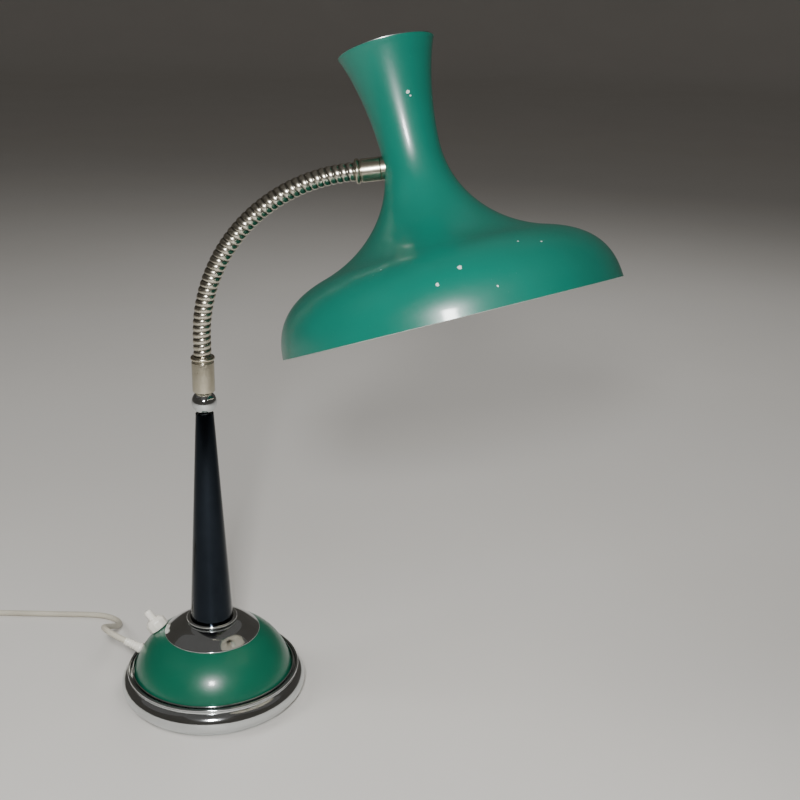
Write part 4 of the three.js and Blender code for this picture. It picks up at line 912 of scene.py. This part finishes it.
shoulder = bend_through(RIM_POINT, Vector((-1, 29)), Vector((30, -8.5)), BRIM_POINT, 30)
flare = bend_through(BRIM_POINT, Vector((-40, 12)), Vector((0, -39)), WAIST_POINT, 34)
funnel = bend_through(WAIST_POINT, Vector((0, 28)), Vector((-8.6, -21.5)), MOUTH_POINT, 22)
outer_line = [*shoulder, *flare[1:], *funnel[1:]]


def set_in(line, depth):
    """The line moved inwards, to its left, by a wall's thickness."""
    moved = []
    for k, point in enumerate(line):
        along = Vector(line[min(k + 1, len(line) - 1)]) - Vector(line[max(k - 1, 0)])
        along.normalize()
        moved.append((point[0] - depth * along.y, point[1] + depth * along.x))
    return moved


inner_line = set_in(outer_line, SHADE_WALL)
EDGE_BEAD = 0.75
rim_bead = arc((outer_line[0][0] + inner_line[0][0]) / 2, outer_line[0][1], EDGE_BEAD, 200, 340, 6)
mouth_bead = arc((outer_line[-1][0] + inner_line[-1][0]) / 2, outer_line[-1][1], EDGE_BEAD, -20, 200, 8)
shade_outline = [*rim_bead, *outer_line[1:-1], *mouth_bead, *reversed(inner_line[1:-1])]

# Bare aluminium: soft grey-white metal, bright where cloths have rubbed the edge.
bare_aluminium, tree = new_material("rubbed_aluminium", metallic=1.0, roughness=0.3)
feed(tree, "Base Color", mixed(tree, noise(tree, 240.0, 4.0), "#e3e6e4", "#a9b8b0"))

# White enamel: an even satin coat that throws the light down, warmed a little by the bulb's heat.
white_enamel, tree = new_material("white_stoving_enamel", roughness=0.38, ior=1.5)
feed(tree, "Base Color", mixed(tree, noise(tree, 18.0, 4.0), "#efece2", "#dfd9c8"))
peel = noise(tree, 620.0, 2.0)
emboss(tree, peel, 0.06, 0.0003)


def outer_radius(height):
    """How far the shade's outer face is from its axis at a height, in millimetres."""
    low, high = next((a, b) for a, b in zip(outer_line, outer_line[1:]) if b[1] >= height)
    return low[0] + (high[0] - low[0]) * (height - low[1]) / (high[1] - low[1])


def on_shade(height, azimuth):
    """A place in metres on the shade's outer face, from its height and the angle round its axis."""
    radius, azimuth = outer_radius(height), math.radians(azimuth)
    return (shade_place @ Vector((radius * math.cos(azimuth), radius * math.sin(azimuth), height))) * MM


SHADE_FACETS = 192
CHIPS = [
    (52, -72, 1.5), (49, -69, 0.8), (-93, -84, 1.9), (-101, -92, 1.5),
    (-84, -60, 0.7), (-88, -52, 0.8), (-80, -112, 0.7), (-112, -75, 0.8),
]
shade_enamel = green_enamel("stoving_enamel_on_aluminium", ("#085b4c", "#0c6d5d"), [
    (tuple(on_shade(height, azimuth)), radius * MM) for height, azimuth, radius in CHIPS])
shade = turned("shade_spinning", shade_outline, [shade_enamel, white_enamel, bare_aluminium],
               shade_place, SHADE_FACETS)
bands = [2] * (len(rim_bead) - 1) + [0] * (len(outer_line) - 1) + [2] * (len(mouth_bead) - 1)
bands += [1] * (len(shade_outline) - len(bands))
for k, face in enumerate(shade.data.polygons):
    face.material_index = bands[k // SHADE_FACETS]
settle(shade, "shade_assembly", "enamelled_aluminium", "shade")

# ------------------------------------------------------------------ saddle collar
# A short nickel-plated distance piece between the upper ferrule and the shade's wall. Its far
# end is hollowed to fit the waist.

SADDLE_BORE = 5.3
SADDLE_FIT = 0.15
FARTHEST_WALL = 60.0
HALVINGS = 30


def reach_to_shade(across, up):
    """How far back along the ferrule's axis the shade's wall is, beside the axis."""
    low, high = 0.0, FARTHEST_WALL
    for _ in range(HALVINGS):
        middle = (low + high) / 2
        x = -middle * math.cos(SHADE_LEAN) + up * math.sin(SHADE_LEAN)
        z = middle * math.sin(SHADE_LEAN) + up * math.cos(SHADE_LEAN)
        if math.hypot(x, across) > outer_radius(z):
            high = middle
        else:
            low = middle
    return high


SADDLE_STEPS = 64
saddle_end = SHADE_MOUNT_REACH - FERRULE_END - SEAT_GAP
shape = bmesh.new()
rows = []
for radius, at_wall in ((SADDLE_BORE, True), (FERRULE_R, True), (FERRULE_R, False), (SADDLE_BORE, False)):
    row = []
    for k in range(SADDLE_STEPS):
        angle = 2 * math.pi * k / SADDLE_STEPS
        up, across = radius * math.cos(angle), radius * math.sin(angle)
        back = reach_to_shade(across, up) + SADDLE_FIT if at_wall else saddle_end
        row.append(shape.verts.new((mount_place @ Vector((-up, across, -back))) * MM))
    rows.append(row)
close_rings(shape, rows)
saddle = make_piece("saddle_collar_turned", shape, [nickel])
settle(saddle, "shade_assembly", "nickel", "saddle_collar")

# ------------------------------------------------------------------ bracket and nipple fittings
# A strip of zinc-plated steel bent to an L inside the waist. The brass nipple passes through it,
# and its shelf carries the lamp holder.

# Zinc plate: pale blue-grey, blotched where the passivation is uneven.
zinc, tree = new_material("zinc_plated_steel", metallic=1.0, roughness=0.4)
spot = add_node(tree, "ShaderNodeTexCoord").outputs["Object"]
blotches = add_node(tree, "ShaderNodeTexVoronoi", {"Vector": spot, "Scale": 420.0})
feed(tree, "Base Color", mixed(tree, blotches.outputs["Distance"], "#b9bcbf", "#8f9496"))

# Brass: yellow metal, browned by heat and air.
brass, tree = new_material("aged_brass", metallic=1.0, roughness=0.34)
feed(tree, "Base Color", mixed(tree, noise(tree, 140.0, 5.0), "#c9a861", "#8d7038"))


def dress(material, *nodes):
    """CAD pieces that need no finer shape take a material that fits them."""
    for name in nodes:
        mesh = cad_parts[name].data
        mesh.materials.clear()
        mesh.materials.append(material)


dress(zinc, "holder_bracket", "nipple_washer", "tie_rod", "rod_washer", "rod_nut")
dress(brass, "nipple_nut")

NIPPLE_R = 5
NIPPLE_BORE_R = 3.2
THREAD_PITCH = 1.0
THREAD_DEPTH = 0.45
NIPPLE_DEPTH = 4.924
NIPPLE_END_REACH = 14.958
nipple_low = FERRULE_END - NIPPLE_DEPTH + SEAT_GAP
nipple_high = SHADE_MOUNT_REACH - NIPPLE_END_REACH
nipple_outline = [(NIPPLE_BORE_R, nipple_low), (NIPPLE_R - THREAD_DEPTH, nipple_low)]
for k in range(int((nipple_high - nipple_low) / THREAD_PITCH)):
    low = nipple_low + k * THREAD_PITCH
    nipple_outline += [(NIPPLE_R, low + 0.4), (NIPPLE_R, low + 0.55), (NIPPLE_R - THREAD_DEPTH, low + 0.95)]
nipple_outline += [(NIPPLE_R - THREAD_DEPTH, nipple_high), (NIPPLE_BORE_R, nipple_high)]
settle(turned("shade_nipple_threaded", nipple_outline, [brass], head_place, 40),
       "head", "brass", "shade_nipple")

# ------------------------------------------------------------------ lamp holder
# A black bakelite screw holder in two halves, moulded with ribs on its skirt for grip. Inside are
# a steatite insert, a centre contact and a threaded brass liner.

# Bakelite: deep brown-black, glossy from the mould, with a faint fleck of its filler.
bakelite, tree = new_material("black_bakelite_moulding", roughness=0.26, ior=1.6)
feed(tree, "Base Color", mixed(tree, noise(tree, 500.0, 6.0), "#17110e", "#2a211c"))

# Steatite: dense unglazed ceramic, off-white and matt.
steatite, tree = new_material("steatite_ceramic", roughness=0.62, ior=1.6)
feed(tree, "Base Color", mixed(tree, noise(tree, 260.0, 6.0), "#e6e0d2", "#cfc7b4"))

HOLDER_R = 19
HOLDER_WALL = 1.6
HOLDER_CAP_TOP = -9.5
HOLDER_CAP_LOW = -22.5
HOLDER_SKIRT_LOW = -50.8
HOLDER_SHOULDER = -16
HOLDER_CROWN_R = 9.5
HOLDER_NECK_R = 5
HOLDER_BORE_R = 3
HOLDER_NECK_TOP = -6
GRIP_RIBS = 28
GRIP_DEPTH = 0.025
cap_outline = [
    (HOLDER_R - HOLDER_WALL, HOLDER_CAP_LOW), (HOLDER_R, HOLDER_CAP_LOW), (HOLDER_R, HOLDER_SHOULDER),
    (15.5, HOLDER_CAP_TOP - 2), (HOLDER_CROWN_R, HOLDER_CAP_TOP), (HOLDER_NECK_R, HOLDER_CAP_TOP),
    (HOLDER_NECK_R, HOLDER_NECK_TOP), (HOLDER_BORE_R, HOLDER_NECK_TOP),
    (HOLDER_BORE_R, HOLDER_CAP_TOP - HOLDER_WALL), (HOLDER_CROWN_R, HOLDER_CAP_TOP - HOLDER_WALL),
    (HOLDER_R - HOLDER_WALL, HOLDER_SHOULDER - HOLDER_WALL),
]
settle(turned("holder_cap_moulding", eased(cap_outline, 1.2), [bakelite], shade_place),
       "shade_assembly", "black_bakelite", "holder_cap")


def grip(angle, height):
    """Moulded ribs round the skirt, below a plain band at its top."""
    if not HOLDER_SKIRT_LOW + 3 < height < HOLDER_CAP_LOW - 4:
        return 1
    return 1 - GRIP_DEPTH * (0.5 + 0.5 * math.cos(GRIP_RIBS * angle))


skirt_top = HOLDER_CAP_LOW - SEAT_GAP
skirt_outline = [
    (HOLDER_R - HOLDER_WALL, HOLDER_SKIRT_LOW), (HOLDER_R, HOLDER_SKIRT_LOW),
    (HOLDER_R, HOLDER_SKIRT_LOW + 2.8), (HOLDER_R, HOLDER_SKIRT_LOW + 3.6),
    (HOLDER_R, HOLDER_CAP_LOW - 4.6), (HOLDER_R, HOLDER_CAP_LOW - 3.8),
    (HOLDER_R, skirt_top), (HOLDER_R - HOLDER_WALL, skirt_top),
]
settle(turned("holder_skirt_moulding", skirt_outline, [bakelite], shade_place, 12 * GRIP_RIBS, grip),
       "shade_assembly", "black_bakelite", "holder_skirt")
dress(steatite, "holder_insert", "terminal_block")
dress(brass, "centre_contact")

SCREW_PITCH = 3.6
SCREW_DEPTH = 0.3


def screw_wave(radius, low, high):
    """An outline's wall that waves in and out as a rolled lamp thread does."""
    steps = int((high - low) / SCREW_PITCH * 8)
    heights = [low + (high - low) * k / steps for k in range(steps + 1)]
    return [(radius + SCREW_DEPTH * (math.cos(2 * math.pi * h / SCREW_PITCH) - 1), h) for h in heights]


LINER_R = 14
LINER_WALL = 0.6
LINER_LOW = -51.4
LINER_TOP = -31.4
liner_outline = [
    *screw_wave(LINER_R, LINER_LOW, LINER_TOP),
    *reversed(screw_wave(LINER_R - LINER_WALL, LINER_LOW, LINER_TOP)),
]
settle(turned("holder_liner_rolled", liner_outline, [brass], shade_place, 64),
       "shade_assembly", "brass", "holder_liner")

# ------------------------------------------------------------------ bulb
# An opal glass bulb on a rolled brass screw cap.

# Opal glass: milky white, glossy, with a little light carried under its skin.
opal, tree = new_material("opal_glass", roughness=0.12, ior=1.5, subsurface_weight=0.25,
                                  subsurface_scale=0.004)
feed(tree, "Base Color", mixed(tree, noise(tree, 22.0), "#fbf8f0", "#efeade"))

BULB_CAP_R = 13.1
BULB_CAP_TOP = -32.3
BULB_CAP_LOW = -58.3
BULB_TAPER = 6
BULB_TIP_R = 5
bulb_cap_outline = [
    (0, BULB_CAP_LOW), *screw_wave(BULB_CAP_R, BULB_CAP_LOW, BULB_CAP_TOP - BULB_TAPER),
    (BULB_CAP_R * 0.75, BULB_CAP_TOP - BULB_TAPER / 2), (BULB_TIP_R, BULB_CAP_TOP), (0, BULB_CAP_TOP),
]
settle(turned("bulb_cap_rolled", bulb_cap_outline, [brass], shade_place, 64),
       "shade_assembly", "brass", "bulb_cap")

BULB_R = 27.5
BULB_BELLY_Z = -98.1
BULB_GLASS_TOP = -58.6
BULB_WALL = 0.9
glass_neck = bend_through(Vector((BULB_R, BULB_BELLY_Z)), Vector((0, 15)), Vector((0, -12)),
                          Vector((BULB_CAP_R, BULB_GLASS_TOP)), 20)
glass_outer = arc(0, BULB_BELLY_Z, BULB_R, -90, 0, 24) + glass_neck[1:]
glass_outer[0] = (0, BULB_BELLY_Z - BULB_R)
glass_inner = set_in(glass_outer, BULB_WALL)
glass_inner[0] = (0, glass_outer[0][1] + BULB_WALL)
settle(turned("bulb_glass_blown", [*glass_outer, *reversed(glass_inner)], [opal], shade_place),
       "shade_assembly", "opal_glass", "bulb_glass")

# ------------------------------------------------------------------ push switch
# A white urea nut with faceted sides clamps the switch through the dome, and a white button with
# a domed end slides in it. The body below is black bakelite, and a zinc-plated steel spring in it
# pushes the button back out.

SWITCH_TILT = 37
SWITCH_AZIMUTH = 169
NUT_R = 9.4
NUT_TOP = 10.8
NUT_CHAMFER = 3.2
NUT_FLATS = 10
NUT_INNER_R = 5.3
NUT_ROOF = 2
BUTTON_R = 3.65
BUTTON_TOP = 20.3
BUTTON_CLEARANCE = 0.3
switch_place = on_dome(SWITCH_TILT, SWITCH_AZIMUTH)


def nut_flats(angle, height):
    """Flat sides round the nut's lower part, running out at its chamfer."""
    if height > NUT_TOP - 0.5:
        return 1
    step = 2 * math.pi / NUT_FLATS
    return math.cos(step / 2) / math.cos((angle % step) - step / 2)


nut_outline = [
    (NUT_INNER_R, SEAT_GAP), (NUT_R, SEAT_GAP),
    (NUT_R, NUT_TOP - NUT_CHAMFER), (NUT_R - NUT_CHAMFER, NUT_TOP),
    (BUTTON_R + BUTTON_CLEARANCE, NUT_TOP), (BUTTON_R + BUTTON_CLEARANCE, NUT_TOP - NUT_ROOF + SEAT_GAP),
    (NUT_INNER_R, NUT_TOP - NUT_ROOF + SEAT_GAP),
]
settle(turned("switch_nut_moulding", eased(nut_outline, 0.5), [white_urea], switch_place,
              12 * NUT_FLATS, nut_flats),
       "base", "white_urea", "switch_nut")

DOME_END = 1.6
FLANGE_R = 4.9
FLANGE_LOW = -6.25
FLANGE_THICK = 1.5
button_outline = [
    (0, FLANGE_LOW), (FLANGE_R, FLANGE_LOW),
    (FLANGE_R, FLANGE_LOW + FLANGE_THICK), (BUTTON_R, FLANGE_LOW + FLANGE_THICK),
    (BUTTON_R, BUTTON_TOP - DOME_END),
    *[(BUTTON_R * math.cos(a), BUTTON_TOP - DOME_END + DOME_END * math.sin(a))
      for a in (math.radians(15 * k) for k in range(1, 6))],
    (0, BUTTON_TOP),
]
settle(turned("switch_button_moulding", button_outline, [white_urea], switch_place, 40),
       "button", "white_urea", "switch_button")
dress(bakelite, "switch_body", "cord_clamp")

SPRING_R = 3.4
SPRING_WIRE_R = 0.45
SPRING_LOW = -20.2
SPRING_HIGH = -7.0
SPRING_TURNS = 4
SPRING_STEPS = 32
spring_line = []
for k in range(SPRING_TURNS * SPRING_STEPS + 1):
    angle = 2 * math.pi * k / SPRING_STEPS
    height = SPRING_LOW + (SPRING_HIGH - SPRING_LOW) * k / (SPRING_TURNS * SPRING_STEPS)
    spot = Vector((SPRING_R * math.cos(angle), SPRING_R * math.sin(angle), height))
    spring_line.append((switch_place @ spot) * MM)
spring = tube("switch_spring_coil", spring_line, SPRING_WIRE_R * MM, 10, [zinc])
settle(spring, "base", "zinc_steel", "switch_spring")
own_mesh(spring)

# ------------------------------------------------------------------ ballast and inner wiring
# A cast iron disc inside the foot gives the lamp its weight. PVC covered leads run from the flex
# to the switch and up the rod, and from the nipple to the lamp holder.

# Cast iron: rough from the sand, dark grey, with a brown bloom of rust.
cast_iron, tree = new_material("sand_cast_iron", metallic=0.6, roughness=0.8)
sand = noise(tree, 220.0, 8.0, grain=0.7)
feed(tree, "Base Color", mixed(tree, sand, "#3d3b3a", "#6a564a"))
emboss(tree, sand, 0.5, 0.0006)
dress(cast_iron, "ballast_weight")
dress(cord_pvc, "cord_tail", "switch_lead", "base_lead", "holder_lead")
